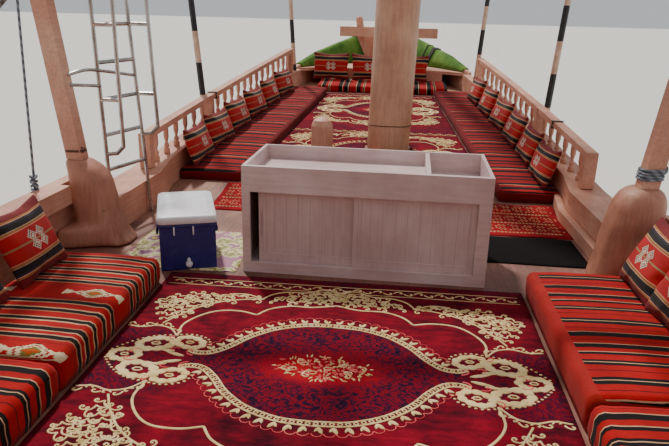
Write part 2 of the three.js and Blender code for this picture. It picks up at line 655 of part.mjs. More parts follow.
// Cabinet with an open tray on top and two sliding doors, turned a little on the deck
const CABINET = { x: -670, y: 655, turn: -0.0223, width: 1570, depth: 710, height: 716, board: 22 };
const TRAY_FLOOR = { large: 620, small: 580, thick: 20 };
const OPENING = { left: 52, right: 1491, low: 70, high: 549 }; // in the front, where the doors show
const FRONT = 25;
const DOOR = { thick: 18, front: FRONT + RUN, back: FRONT + RUN + 24, low: 60 + SEAT, high: 556 };
function cabinetPlace(geometry) {
  return geometry.rotateZ(CABINET.turn).translate(CABINET.x, CABINET.y, DECK);
}
const { width: cw, depth: cd, height: ch, board: cb } = CABINET;
const DIVIDER = { left: 1160, right: 1188 };
piece('cabinet', cabinetPlace(join([
  block([0, 0, 0], [cw, cd, 60]),
  block([0, 0, 55], [cw, FRONT, OPENING.low]),
  block([0, 0, 55], [OPENING.left, FRONT, ch]),
  block([OPENING.right, 0, 55], [cw, FRONT, ch]),
  block([0, 0, OPENING.high], [cw, FRONT, ch]),
  block([5, 0, TRAY_FLOOR.large - 10], [cw - 5, 35, ch]),
  block([0, 5, 55], [cb, cd, ch]),
  block([cw - cb, 5, 55], [cw, cd, ch]),
  block([5, cd - cb, 55], [cw - 5, cd, ch]),
  block([5, 5, TRAY_FLOOR.large - TRAY_FLOOR.thick], [DIVIDER.right - 5, cd - 5, TRAY_FLOOR.large]),
  block([DIVIDER.left, 5, TRAY_FLOOR.small - TRAY_FLOOR.thick], [cw - 5, cd - 5, TRAY_FLOOR.small]),
  block([DIVIDER.left, 20, TRAY_FLOOR.small - 5], [DIVIDER.right, cd - 5, ch - 6]),
])), 'cabinetPaint');
function door(x0, x1, y) {
  const leaf = block([x0, y, DOOR.low], [x1, y + DOOR.thick, DOOR.high]);
  const panel = block([x0 + 48, y - 5, DOOR.low + 62], [x1 - 48, y + 5, DOOR.high - 40]);
  const gripX = x0 < 400 ? x0 + 15 : x1 - 62;
  return cut(leaf, [panel, block([gripX, y - 5, 235], [gripX + 14, y + 8, 395])]);
}
piece('cabinet_door_left', cabinetPlace(door(97, 868, DOOR.back)), 'cabinetPaint');
piece('cabinet_door_right', cabinetPlace(door(717, 1505, DOOR.front)), 'cabinetPaint');

// Floor mats and carpets
const RUG = 10;
const slabRing = (left, right, y, thick) => [
  [left, y, seatAt(y)],
  [right, y, seatAt(y)],
  [right, y, seatAt(y) + thick],
  [left, y, seatAt(y) + thick],
];
function sheetOn(x0, x1, y0, y1, thick) {
  const fold = y0 < RAMP_START && y1 > RAMP_START ? [RAMP_START] : [];
  return loft([y0, ...fold, y1].map((y) => slabRing(x0, x1, y, thick)));
}
piece('main_carpet', sheetOn(-1120, 1120, -4150, 560, RUG), 'carpet');
piece('floral_mat', sheetOn(-1545, -720, 620, 1400, 6), 'mat');
piece('mesh_mat', sheetOn(950, 1690, 1065, 1640, 6), 'mesh');
piece('rug_port', sheetOn(-1300, -640, 1960, 2700, 8), 'stripe');
piece('rug_starboard', sheetOn(1000, 1720, 1660, 2480, 8), 'stripe');

// Fore carpet, cut round the mast and the samson post
const SEATING = {
  port: { near: 2750, far: 7080, inner: [1200, 830] },
  starboard: { near: 2550, far: 7080, inner: [1260, 870] },
};
const seatInner = (name, y) => {
  const { near, far, inner } = SEATING[name];
  return inner[0] + ((inner[1] - inner[0]) * (y - near)) / (far - near);
};
const carpetYs = [2780, 4000, 5800, 7080];
const foreCarpet = loft(carpetYs.map((y) => {
  return slabRing(14 - seatInner('port', y), seatInner('starboard', y) - 14, y, RUG);
}));
piece('fore_carpet', cut(foreCarpet, [
  drum(MAST.x + 3, MAST.y, DECK, 400, MAST.foot + 8, 24),
  drum(POST.x, POST.y, DECK, 400, POST.radius + 8, 16),
]), 'carpet');

// A cushion leaning against the side: a tapered box turned about its lower edge. Sizes are width and height
const PILLOW = { near: [520, 450], fore: [635, 385], bow: [620, 460], depth: 150 };
function pillow(x, y, z, turn, lean, [width, height]) {
  const { depth } = PILLOW;
  const ring = (h, w, d) => [[-w / 2, -d / 2, h], [w / 2, -d / 2, h], [w / 2, d / 2, h], [-w / 2, d / 2, h]];
  const shape = loft([
    ring(0, width * 0.94, depth * 0.55),
    ring(height * 0.3, width, depth),
    ring(height * 0.7, width, depth),
    ring(height, width * 0.94, depth * 0.5),
  ]);
  return shape.rotateX(lean).rotateZ(turn).translate(x, y, z);
}

// Fore seating: a long mattress a side with cushions against the balustrade
const CUSHIONS = {
  port: [3075, 3720, 4380, 5060, 5740, 6420],
  starboard: [2900, 3550, 4210, 4900, 5590, 6280],
};
const MATTRESS = 105;
for (const [name, side] of Object.entries(SIDES)) {
  const { near, far } = SEATING[name];
  const outer = (y) => sillInner(y) - 12;
  const top = (y) => deckAt(y) + MATTRESS;
  const parts = [plank(stations(near, far, 1200), (y) => seatInner(name, y), outer, seatAt, top, side)];
  for (const y of CUSHIONS[name]) {
    const x = side * (railAt(y) - 262);
    const skew = (railAt(y - 100) - railAt(y + 100)) / 200;
    parts.push(pillow(x, y, top(y) - 12, -side * (Math.PI / 2 - skew), -0.36, PILLOW.fore));
  }
  piece(`seating_fore_${name}`, join(parts), 'stripe');
}

// Bow seating across the deck, its cushions against the board
const bowY = [7190, 7860];
const bowMattress = loft(bowY.map((y) => slabRing(-1010, 1080, y, MATTRESS)));
const bowRest = [7680, deckAt(7680) + MATTRESS - 12];
const bowCushions = [-835, -185, 465].map((x) => pillow(x, ...bowRest, 0, -0.2, PILLOW.bow));
piece('seating_bow', join([bowMattress, ...bowCushions]), 'stripe');

// Near seating on the level deck: a thick mattress row a side with cushions against the bulwark
const NEAR = {
  port: { far: 400, inner: 1140, cushions: [40, -560, -1120, -2300, -3300] },
  starboard: { far: 540, inner: 1140, cushions: [260, -180, -800, -2300, -3300] },
};
const NEAR_TOP = 180;
for (const [name, side] of Object.entries(SIDES)) {
  const { far, inner, cushions } = NEAR[name];
  const bed = block([side * inner, -4150, DECK], [side * 1820, far, DECK + NEAR_TOP]);
  const backs = cushions.map((y) => {
    return pillow(side * 1665, y, DECK + NEAR_TOP - 12, -side * Math.PI / 2, -0.42, PILLOW.near);
  });
  piece(`seating_near_${name}`, join([bed, ...backs]), 'stripe');
}

// Cool box standing on the mat, with a lid on rear hinges
const COOLER = {
  x: -1125,
  y: 905,
  turn: 0.34,
  width: 360,
  length: 600,
  body: 315,
  wall: 32,
  lid: 62,
  overhang: 12,
};
const coolerFoot = DECK + 6 + SEAT;
const coolerPlace = (geometry) => geometry.rotateZ(COOLER.turn).translate(COOLER.x, COOLER.y, coolerFoot);
const { width: kw, length: kl, body: kb, wall: kt } = COOLER;
const shell = block([-kw / 2, -kl / 2, 0], [kw / 2, kl / 2, kb]);
const inside = block([-kw / 2 + kt, -kl / 2 + kt, kt], [kw / 2 - kt, kl / 2 - kt, kb + 10]);
const tap = new THREE.CylinderGeometry(16, 16, 40, 12).translate(0, -kl / 2 - 12, 40);
piece('cool_box', coolerPlace(join([cut(shell, [inside]), tap])), 'coolBlue');
const [lidX, lidY] = [kw / 2 + COOLER.overhang, kl / 2 + COOLER.overhang];
const lid = block([-lidX, -lidY, kb + SEAT], [lidX, lidY, kb + COOLER.lid]);
piece('cool_box_lid', coolerPlace(lid), 'coolWhite');

// Deckhouse: hollow walls with a doorway and windows, helm console inside, roof and door
const { front, back, half: hw, height: hh, wall: ht } = HOUSE;
const houseTop = DECK + hh;
const DOORWAY = { left: -960, right: -250, low: DECK + 30, high: DECK + 1850 };
const HINGE = { x: DOORWAY.left + 7, y: front + 14, radius: 15, leaf: 60, size: 60 };
const HINGE_HEIGHTS = [DECK + 300, DECK + 1500];
const WHEEL = { x: 760, y: front - 400, z: DECK + 1020, radius: 330, tube: 20, shaft: 18 };
function house() {
  const outer = block([-hw, back, DECK], [hw, front, houseTop]);
  const room = block([-hw + ht, back + ht, DECK - 10], [hw - ht, front - ht, houseTop + 10]);
  const sillZ = DECK + 950;
  const headZ = DECK + 1700;
  const windows = [
    block([-100, front - 200, sillZ], [480, front + 100, headZ]),
    block([600, front - 200, sillZ], [1150, front + 100, headZ]),
    block([-700, back - 100, sillZ], [700, back + 200, headZ]),
  ];
  for (const y of [-5650, -6600]) {
    windows.push(block([-hw - 100, y, sillZ], [-hw + 200, y + 700, headZ]));
    windows.push(block([hw - 200, y, sillZ], [hw + 100, y + 700, headZ]));
  }
  const doorway = block([DOORWAY.left, front - 200, DOORWAY.low], [DOORWAY.right, front + 100, DOORWAY.high]);
  const walls = cut(outer, [room, ...windows, doorway]);
  const console = block([450, front - ht - 260, DECK], [1070, front - ht + 10, DECK + 1150]);
  const knuckles = HINGE_HEIGHTS.flatMap((z) => [
    drum(HINGE.x, HINGE.y, z, HINGE.size, HINGE.radius),
    block([HINGE.x - HINGE.leaf, front - 1, z], [HINGE.x, front + 8, z + HINGE.size]),
  ]);
  const bore = new THREE.CylinderGeometry(WHEEL.shaft + 0.6, WHEEL.shaft + 0.6, 200, 24);
  return cut(join([walls, console, ...knuckles]), [bore.translate(WHEEL.x, WHEEL.y + 80, WHEEL.z)]);
}
piece('wheelhouse', house(), 'timber');
const eave = HOUSE.eaves;
const roofLow = [-hw - eave, back - eave, houseTop];
piece('wheelhouse_roof', block(roofLow, [hw + eave, front + eave - 30, houseTop + HOUSE.roof]), 'timber');
const doorLow = [HINGE.x + 7, front - 40, DOORWAY.low + RUN];
const doorLeaf = block(doorLow, [DOORWAY.right - RUN, front, DOORWAY.high - RUN]);
const doorParts = HINGE_HEIGHTS.flatMap((z) => {
  const foot = z + HINGE.size + SEAT;
  return [
    drum(HINGE.x, HINGE.y, foot, HINGE.size, HINGE.radius),
    block([HINGE.x, front - 1, foot], [HINGE.x + HINGE.leaf, front + 8, foot + HINGE.size]),
  ];
});
piece('wheelhouse_door', join([doorLeaf, ...doorParts]), 'timber');

// Helm wheel: rim, eight spokes with handles, hub and shaft, turning about Y
function helmWheel() {
  const rim = new THREE.TorusGeometry(WHEEL.radius - 60, WHEEL.tube, 8, 28);
  const parts = [rim.rotateX(Math.PI / 2)];
  for (let k = 0; k < 4; k += 1) {
    const spoke = new THREE.CylinderGeometry(13, 13, 2 * WHEEL.radius, 8).rotateX(Math.PI / 2);
    parts.push(spoke.rotateY((k * Math.PI) / 4));
  }
  parts.push(new THREE.CylinderGeometry(48, 48, 60, 16));
  parts.push(new THREE.CylinderGeometry(WHEEL.shaft, WHEEL.shaft, 120, 24).translate(0, 80, 0));
  return join(parts).translate(WHEEL.x, WHEEL.y, WHEEL.z);
}
piece('helm_wheel', helmWheel(), 'spar');

// Rudder on the sternpost, notched round the gudgeons, with pintles and a tiller over the stern
function rudder() {
  const { axisY, lead, half, pin } = RUDDER;
  const blade = profileSlab([
    [lead, -1450],
    [lead, 1740],
    [lead - 230, 1740],
    [lead - 260, 700],
    [lead - 420, 300],
    [lead - 780, -500],
    [lead - 730, -1450],
  ], 2 * half);
  const notches = GUDGEONS.map((z) => {
    return block([-60, lead + 20, z - 8], [60, axisY - 62, z + GUDGEON_HEIGHT + 8]);
  });
  const pins = GUDGEONS.map((z) => drum(0, axisY, z - 20, GUDGEON_HEIGHT + 40, pin, 24));
  const tiller = bar([[0, lead - 100, 1600], [0, -8250, 1660]], [48, 34], 8);
  return join([cut(blade, notches), ...pins, tiller]);
}
piece('rudder', rudder(), 'timber');

// Propeller: hub, shaft and three pitched blades, turning about Y
function propeller() {
  const y = -8330;
  const parts = [
    new THREE.CylinderGeometry(60, 70, 190, 16).translate(0, y, 0),
    new THREE.CylinderGeometry(SHAFT.radius, SHAFT.radius, 420, 24).translate(0, y + 250, 0),
  ];
  for (let k = 0; k < 3; k += 1) {
    const blade = loft([[40, 95, 16], [190, 150, 11], [345, 80, 6]].map(([r, w, t]) => [
      [-w, -t, r],
      [w, -t, r],
      [w, t, r],
      [-w, t, r],
    ]));
    blade.rotateZ(0.62).rotateY((k * 2 * Math.PI) / 3).translate(0, y, 0);
    parts.push(blade);
  }
  return join(parts).translate(0, 0, SHAFT.z);
}
piece('propeller', propeller(), 'bronze');

export default boat;
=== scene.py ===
"""Timber dhow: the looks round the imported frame. Metres, waterline at z = 0, +Y to the bow, +X to starboard."""
import math
import random

import bpy
import numpy as np
from mathutils import Matrix, Vector, noise


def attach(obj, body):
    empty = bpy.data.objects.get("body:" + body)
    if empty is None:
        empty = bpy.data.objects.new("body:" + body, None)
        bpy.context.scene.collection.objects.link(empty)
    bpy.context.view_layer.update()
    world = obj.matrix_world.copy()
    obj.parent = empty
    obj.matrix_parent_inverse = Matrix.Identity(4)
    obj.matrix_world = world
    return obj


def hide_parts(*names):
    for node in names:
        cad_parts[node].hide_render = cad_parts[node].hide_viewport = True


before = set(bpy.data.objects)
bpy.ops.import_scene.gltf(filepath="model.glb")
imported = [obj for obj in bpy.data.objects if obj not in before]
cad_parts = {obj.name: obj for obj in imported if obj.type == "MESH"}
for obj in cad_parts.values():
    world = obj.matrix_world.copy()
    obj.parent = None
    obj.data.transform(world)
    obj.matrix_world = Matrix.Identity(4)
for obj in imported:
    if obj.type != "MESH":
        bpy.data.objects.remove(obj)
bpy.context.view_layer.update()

# Named sizes, repeated from the part's source in metres
DECK = 0.95
RAMP_START, RAMP_SLOPE = 2.2, 0.084
RAIL_LOW = 1.53
MATTRESS, NEAR_MATTRESS = 0.105, 0.180
MAST_X, MAST_Y, MAST_LEAN = 0.205, 4.120, 0.0225
BOW_HALF = [(7.66, 1.48), (8.4, 1.19), (9.1, 0.83), (9.54, 0.578)]
BOW_TOP = [(7.66, 1.70), (8.4, 1.90), (9.1, 2.05), (9.54, 2.15)]
# The bow bulwarks: their foot, their thickness, and how far they flare for each metre up
BOW_FOOT, BOW_THICK, BOW_FLARE = 1.69, 0.064, 0.45
SEAT_NEAR = {"port": 2.75, "starboard": 2.55}
SEAT_INNER = {"port": (1.200, 0.830), "starboard": (1.260, 0.870)}
SEAT_FAR, BOW_SEAT = 7.08, 7.5
SIDES = {"port": -1, "starboard": 1}
# Thickness of the two carpets
CARPET = 0.009
COOL_BOX_AT, COOL_BOX_TURN = (-1.125, 0.905, 0.9563), 0.34
# Ends of the yard
YARD_FORE, YARD_AFT = Vector((0.049, 9.650, 3.650)), Vector((0.049, -3.000, 14.240))
HOUSE_FRONT, HOUSE_BACK, HOUSE_HALF = -4.700, -7.000, 1.300
WINDOW_FOOT, WINDOW_HEAD = 1.900, 2.650
# Half the side of a square awning post
AWNING_POST_HALF = 0.055


def read(table, y):
    """Straight-line reading of a two-column table."""
    return float(np.interp(y, [row[0] for row in table], [row[1] for row in table]))


def deck_at(y):
    return DECK + RAMP_SLOPE * max(0.0, y - RAMP_START)


def rail_at(y):
    ahead = y - RAMP_START
    return 1.930 - 0.034 * ahead - 0.0105 * ahead * ahead


def rail_top(y):
    ahead = y - RAMP_START
    return RAIL_LOW + 0.075 * ahead + 0.0035 * ahead * ahead


def sill_inner(y):
    return rail_at(y) - 0.165 + 0.065 * min(1.0, max(0.0, (y - 2.15) / 0.45))


def seat_inner(side, y):
    near = SEAT_NEAR[side]
    first, last = SEAT_INNER[side]
    return first + (last - first) * (y - near) / (SEAT_FAR - near)


def mast_x(z):
    return MAST_X + MAST_LEAN * (z - DECK)


# Camera: a person standing on the main deck, looking over the cabinet to the bow
EYE = (0.28, -3.20, 2.60)
LOOK = {"yaw": math.radians(-5.2), "pitch": math.radians(18.3), "roll": math.radians(-1.45)}
FOCAL_PIXELS, PHOTO_PIXELS, SENSOR = 640, 669, 36


def aim_camera():
    yaw, pitch, roll = LOOK["yaw"], LOOK["pitch"], LOOK["roll"]
    ahead = Vector((math.sin(yaw) * math.cos(pitch), math.cos(yaw) * math.cos(pitch), -math.sin(pitch)))
    level = Vector((math.cos(yaw), -math.sin(yaw), 0))
    below = ahead.cross(level)
    right = level * math.cos(roll) + below * math.sin(roll)
    down = below * math.cos(roll) - level * math.sin(roll)
    data = bpy.data.cameras.new("deck_camera")
    data.sensor_width = SENSOR
    data.lens = SENSOR * FOCAL_PIXELS / PHOTO_PIXELS
    data.clip_start, data.clip_end = 0.05, 800
    camera = bpy.data.objects.new("deck_camera", data)
    camera.matrix_world = Matrix.Translation(EYE) @ Matrix((right, -down, -ahead)).transposed().to_4x4()
    bpy.context.scene.collection.objects.link(camera)
    bpy.context.scene.camera = camera


aim_camera()


# Materials
def linear(code):
    """An sRGB hex colour as linear RGBA."""
    parts = [int(code[i:i + 2], 16) / 255 for i in (1, 3, 5)]
    return tuple(c / 12.92 if c <= 0.04045 else ((c + 0.055) / 1.055) ** 2.4 for c in parts) + (1.0,)


def fill(tree, node, sockets):
    """Gives each socket of a node a link, a colour or a plain value. A tuple goes by order, and else by name."""
    for name, value in enumerate(sockets) if isinstance(sockets, tuple) else sockets.items():
        if isinstance(value, bpy.types.NodeSocket):
            tree.links.new(value, node.inputs[name])
        elif isinstance(value, str) and value.startswith("#"):
            node.inputs[name].default_value = linear(value)
        else:
            node.inputs[name].default_value = value


def add(tree, kind, sockets=(), stops=(), out=0, **settings):
    """Adds a shader node with its settings, its colour stops and its sockets, and returns one of its outputs. Stops
    in a tuple are hard bands, and in a list they run into each other."""
    node = tree.nodes.new("ShaderNode" + kind)
    for name, value in settings.items():
        setattr(node, name, value)
    for i, (position, colour) in enumerate(stops):
        ramp = node.color_ramp
        ramp.interpolation = "CONSTANT" if isinstance(stops, tuple) else "LINEAR"
        stop = ramp.elements[i] if i < 2 else ramp.elements.new(position)
        stop.position, stop.color = position, linear(colour)
    fill(tree, node, sockets)
    return node.outputs[out]


def finish(name, **shader):
    """A new material: its node tree and its shader, with constant values on the shader's own sockets."""
    material = bpy.data.materials.new(name)
    material.use_nodes = True
    tree = material.node_tree
    surface = tree.nodes["Principled BSDF"]
    for socket, value in shader.items():
        surface.inputs[socket.replace("_", " ")].default_value = value
    return material, tree, surface


def painted_timber(name, base, worn, shade, along, gloss=0.52, seam_axis=None, seam_pitch=0.15, seam="#6b4636",
                   gap=0.0035, brush="#d8cfca", chip=0.685, panel=None):
    """Oil paint brushed on sawn teak: brush marks run along the plank, sun chalks it in broad patches, and
    chips show the brown wood. Seams between planks come at every two pitches."""
    material, tree, surface = finish(name, IOR=1.5, Coat_Weight=0.05)
    spot = add(tree, "TexCoord", out="Object")
    brushed_along = tuple(0.08 if axis == along else 1.0 for axis in "XYZ")
    drawn_out = add(tree, "Mapping", {"Vector": spot, "Scale": brushed_along})
    marks = add(tree, "TexNoise", {"Vector": drawn_out, "Scale": 55.0, "Detail": 4.0})
    patches = add(tree, "TexNoise", {"Vector": spot, "Scale": 1.4, "Detail": 6.0, "Roughness": 0.62})
    tone = add(tree, "ValToRGB", {"Fac": patches}, [(0.32, shade), (0.5, base), (0.68, worn)])
    streak = add(tree, "ValToRGB", {"Fac": marks}, [(0.3, brush), (0.62, "#ffffff")])
    brushed = add(tree, "MixRGB", {"Fac": 0.55, "Color1": tone, "Color2": streak}, blend_type="MULTIPLY")
    flecks = add(tree, "TexNoise", {"Vector": spot, "Scale": 11.0, "Detail": 9.0, "Roughness": 0.7})
    chipped = add(tree, "Math", (flecks, chip), operation="GREATER_THAN")
    colour = add(tree, "MixRGB", {"Fac": chipped, "Color1": brushed, "Color2": "#8e6248"})
    height = marks
    if seam_axis:
        parts = add(tree, "SeparateXYZ", {"Vector": spot}).node.outputs
        # Seams by x + y run round the corners of a house, so that no wall lies in one
        axis = add(tree, "Math", (parts[0], parts[1]), operation="ADD") if seam_axis == "XY" else parts[seam_axis]
        turn = add(tree, "Math", (axis, seam_pitch), operation="PINGPONG")
        open_seam = add(tree, "Math", (turn, gap), operation="LESS_THAN")
        if panel:
            middle, half = (panel[0] + panel[1]) / 2, (panel[1] - panel[0]) / 2
            within = add(tree, "Math", (parts[2], middle, half), operation="COMPARE")
            open_seam = add(tree, "Math", (open_seam, within), operation="MULTIPLY")
        colour = add(tree, "MixRGB", {"Fac": open_seam, "Color1": colour, "Color2": seam})
        height = add(tree, "Math", (marks, open_seam), operation="SUBTRACT")
    rough = add(tree, "MapRange", {"Value": patches, "To Min": gloss - 0.1, "To Max": gloss + 0.16})
    relief = add(tree, "Bump", {"Height": height, "Strength": 0.25, "Distance": 0.0012})
    fill(tree, surface, {"Base Color": colour, "Roughness": rough, "Normal": relief})
    return material


PEACH = ("#d49a80", "#e6b79d", "#b67c66")
timber_along = painted_timber("peach_paint_on_planks", *PEACH, along="Y")
timber_upright = painted_timber("peach_paint_on_posts", *PEACH, along="Z")
timber_across = painted_timber("peach_paint_on_beams", *PEACH, along="X")
timber_house = painted_timber("peach_paint_on_house_boards", *PEACH, along="Z", seam_axis="XY", seam_pitch=0.14)
head_paint = painted_timber("worn_paint_on_the_timber_heads", "#bf846c", "#d0a089", "#97634e", along="Z")
mast_paint = painted_timber("tan_paint_on_the_mast", "#d5a686", "#e4bd9f", "#b9886b", along="Z", gloss=0.42)
cabinet_paint = painted_timber("white_paint_on_the_cabinet", "#d8c3c1", "#e9dcd9", "#c2a8a7", along="X", gloss=0.38,
                              brush="#ece4e2", chip=0.75)
door_paint = painted_timber("white_paint_on_beaded_doors", "#d3bdbc", "#e2d2d0", "#bfa6a6", along="Z", gloss=0.38,
                            seam_axis="X", seam_pitch=0.039, seam="#ab908f", gap=0.0011, brush="#ece4e2", chip=0.75,
                            panel=(1.075, 1.463))


def hull_finish():
    """Teak planks: bare scrubbed deck with caulked seams, peach oil paint on the topsides with a seam at each
    plank, and matt red-brown bottom paint below the waterline."""
    material, tree, surface = finish("hull_planks", IOR=1.5)
    spot = add(tree, "TexCoord", out="Object")
    across, ahead, up = add(tree, "SeparateXYZ", {"Vector": spot}).node.outputs
    drawn_out = add(tree, "Mapping", {"Vector": spot, "Scale": (1.0, 0.06, 1.0)})
    grain = add(tree, "TexNoise", {"Vector": drawn_out, "Scale": 60.0, "Detail": 5.0})
    patches = add(tree, "TexNoise", {"Vector": spot, "Scale": 1.1, "Detail": 7.0, "Roughness": 0.65})
    # 140 mm deck planks, 190 mm hull planks that follow the sheer
    deck_turn = add(tree, "Math", (across, 0.07), operation="PINGPONG")
    deck_seam = add(tree, "Math", (deck_turn, 0.0020), operation="LESS_THAN")
    bend = add(tree, "Math", (ahead, ahead), operation="MULTIPLY")
    sheer = add(tree, "Math", (bend, -0.0068, up), operation="MULTIPLY_ADD")
    side_turn = add(tree, "Math", (sheer, 0.095), operation="PINGPONG")
    side_seam = add(tree, "Math", (side_turn, 0.004), operation="LESS_THAN")
    bare = add(tree, "ValToRGB", {"Fac": patches}, [(0.3, "#5c382d"), (0.48, "#84574a"), (0.66, "#a4765f")])
    bare_grain = add(tree, "MixRGB", {"Fac": 0.5, "Color1": bare, "Color2": grain}, blend_type="OVERLAY")
    deck = add(tree, "MixRGB", {"Fac": deck_seam, "Color1": bare_grain, "Color2": "#6b4a3e"})
    base, worn, shade = PEACH
    paint = add(tree, "ValToRGB", {"Fac": patches}, [(0.3, shade), (0.5, base), (0.7, worn)])
    side = add(tree, "MixRGB", {"Fac": side_seam, "Color1": paint, "Color2": "#9a6c58"})
    below = add(tree, "ValToRGB", {"Fac": patches}, [(0.3, "#6b3a2d"), (0.7, "#8a4a38")])
    afloat = add(tree, "Math", (up, 0.10), operation="GREATER_THAN")
    outside = add(tree, "MixRGB", {"Fac": afloat, "Color1": below, "Color2": side})
    facing = add(tree, "SeparateXYZ", {"Vector": add(tree, "NewGeometry", out="Normal")}, out=2)
    level = add(tree, "Math", (facing, 0.9), operation="GREATER_THAN")
    colour = add(tree, "MixRGB", {"Fac": level, "Color1": outside, "Color2": deck})
    dulled = add(tree, "MapRange", {"Value": patches, "To Min": 0.5, "To Max": 0.75})
    seams = add(tree, "MixRGB", {"Fac": level, "Color1": side_seam, "Color2": deck_seam})
    height = add(tree, "MixRGB", {"Fac": 1.0, "Color1": grain, "Color2": seams}, blend_type="SUBTRACT")
    relief = add(tree, "Bump", {"Height": height, "Strength": 0.5, "Distance": 0.003})
    fill(tree, surface, {"Base Color": colour, "Roughness": dulled, "Normal": relief})
    return material


hull_paint = hull_finish()


# Metres from band to band in a wave texture of scale 1
WAVE = 0.314


def weave_height(tree, place, thread):
    """Crossed threads at the given spacing in metres."""
    warp, weft = [add(tree, "TexWave", {"Vector": place, "Scale": WAVE / thread}, bands_direction=way)
                  for way in "XY"]
    return add(tree, "Math", (warp, weft), operation="MAXIMUM")


def stepped(tree, value, centre, step):
    """The distance from a centre, in whole steps: a plain weave can only turn by whole threads."""
    offset = add(tree, "Math", (value, centre), operation="SUBTRACT")
    return add(tree, "Math", (add(tree, "Math", (offset,), operation="ABSOLUTE"), step), operation="SNAP")


def diamond(tree, ground, narrow, wide, size):
    """A diamond about twice as long as it is wide, with cream fishtails beyond its points."""
    body = add(tree, "Math", (wide, 0.52, narrow), operation="MULTIPLY_ADD")
    pale = "#efe3b8"
    tones = ((0.0, "#c8560f"), (0.22, "#7c7a30"), (0.42, pale), (0.62, "#b0121a"), (0.74, pale), (0.95, "#30101a"))
    share = add(tree, "Math", (body, size * 1.25), operation="DIVIDE")
    drawn = add(tree, "ValToRGB", {"Fac": share}, tones)
    inside = add(tree, "Math", (body, size * 1.22), operation="LESS_THAN")
    colour = add(tree, "MixRGB", {"Fac": inside, "Color1": ground, "Color2": drawn})
    # The fishtails open from the diamond's points and end square
    beyond = add(tree, "Math", (wide, size * 2.2), operation="SUBTRACT")
    opened = add(tree, "Math", (beyond, 0.55), operation="MULTIPLY")
    within = add(tree, "Math", (narrow, opened), operation="LESS_THAN")
    short = add(tree, "Math", (wide, size * 3.4), operation="LESS_THAN")
    tail = add(tree, "Math", (within, short), operation="MULTIPLY")
    return add(tree, "MixRGB", {"Fac": tail, "Color1": colour, "Color2": pale})


def woven_wool(name, period, bands, motif=None, border=None):
    """Hand-woven dyed wool: dense ribs, soft sheen at a glancing angle, bands across the cloth and a stepped
    diamond in the wide red band. The cloth attribute gives metres along and across the bands."""
    material, tree, surface = finish(name, Roughness=0.88, Sheen_Weight=0.04, Specular_IOR_Level=0.2)
    place = add(tree, "Attribute", out="Vector", attribute_name="cloth")
    along, across = add(tree, "SeparateXYZ", {"Vector": place}).node.outputs[:2]
    drift = add(tree, "TexNoise", {"Vector": place, "Scale": 7.0, "Detail": 2.0})
    bent = add(tree, "Math", (drift, 0.012, along), operation="MULTIPLY_ADD")
    turn = add(tree, "Math", (bent, period), operation="FLOORED_MODULO")
    share = add(tree, "Math", (turn, period), operation="DIVIDE")
    colour = add(tree, "ValToRGB", {"Fac": share}, tuple((at / period, code) for at, code in bands))
    if motif:
        pitch, centre, size = motif
        cell = add(tree, "Math", (across, pitch), operation="FLOORED_MODULO")
        narrow, wide = stepped(tree, turn, centre, 0.008), stepped(tree, cell, pitch / 2, 0.012)
        colour = diamond(tree, colour, narrow, wide, size)
    if border:
        edge = add(tree, "Math", (across, border[0]), operation="LESS_THAN")
        colour = add(tree, "MixRGB", {"Fac": edge, "Color1": colour, "Color2": border[1]})
    cloudy = add(tree, "TexNoise", {"Vector": place, "Scale": 4.0, "Detail": 5.0, "Roughness": 0.65})
    tone = add(tree, "ValToRGB", {"Fac": cloudy}, [(0.3, "#bcaeae"), (0.7, "#ffffff")])
    yarn = add(tree, "TexNoise", {"Vector": add(tree, "Mapping", {"Vector": place, "Scale": (1.0, 0.08, 1.0)}),
                                  "Scale": 420.0, "Detail": 2.0})
    thread = add(tree, "ValToRGB", {"Fac": yarn}, [(0.3, "#bdb2b2"), (0.65, "#ffffff")])
    uneven = add(tree, "MixRGB", {"Fac": 0.8, "Color1": colour, "Color2": tone}, blend_type="MULTIPLY")
    woven = add(tree, "MixRGB", {"Fac": 0.5, "Color1": uneven, "Color2": thread}, blend_type="MULTIPLY")
    # Ribs of about 3 mm, drawn at 5 mm so that they show
    relief = add(tree, "Bump", {"Height": weave_height(tree, place, 0.005), "Strength": 0.4, "Distance": 0.0012})
    fill(tree, surface, {"Base Color": woven, "Normal": relief})
    return material


RED, DEEP, WINE, BLACK, CREAM, TAN = "#bd060c", "#7e0410", "#5a0c12", "#120a0e", "#dcb48c", "#bf8562"
# Bands measured along the mattress, in metres, each from where it starts
DIAMOND_BANDS = [(0.000, BLACK), (0.030, TAN), (0.040, RED), (0.084, CREAM), (0.094, BLACK), (0.122, CREAM),
                 (0.132, RED), (0.180, TAN), (0.188, BLACK), (0.216, CREAM), (0.228, RED), (0.276, CREAM),
                 (0.286, BLACK), (0.316, TAN), (0.326, RED), (0.345, DEEP), (0.350, RED), (0.505, DEEP),
                 (0.510, RED), (0.530, TAN), (0.540, BLACK), (0.568, CREAM), (0.578, RED), (0.606, CREAM)]
PLAIN_BANDS = [(0.000, BLACK), (0.022, CREAM), (0.028, BLACK), (0.045, RED), (0.095, BLACK), (0.118, CREAM),
               (0.124, RED), (0.160, BLACK), (0.200, CREAM), (0.206, RED), (0.236, WINE), (0.240, RED),
               (0.270, BLACK), (0.312, CREAM), (0.318, RED), (0.360, WINE), (0.366, RED), (0.410, BLACK),
               (0.440, CREAM), (0.446, BLACK), (0.468, RED), (0.520, WINE), (0.526, RED)]
FINE_BANDS = [(0.000, "#8e040c"), (0.030, BLACK), (0.075, RED), (0.115, BLACK), (0.130, RED), (0.165, BLACK),
              (0.235, RED), (0.285, CREAM), (0.293, BLACK), (0.350, RED), (0.390, BLACK), (0.402, RED),
              (0.430, BLACK), (0.470, RED)]
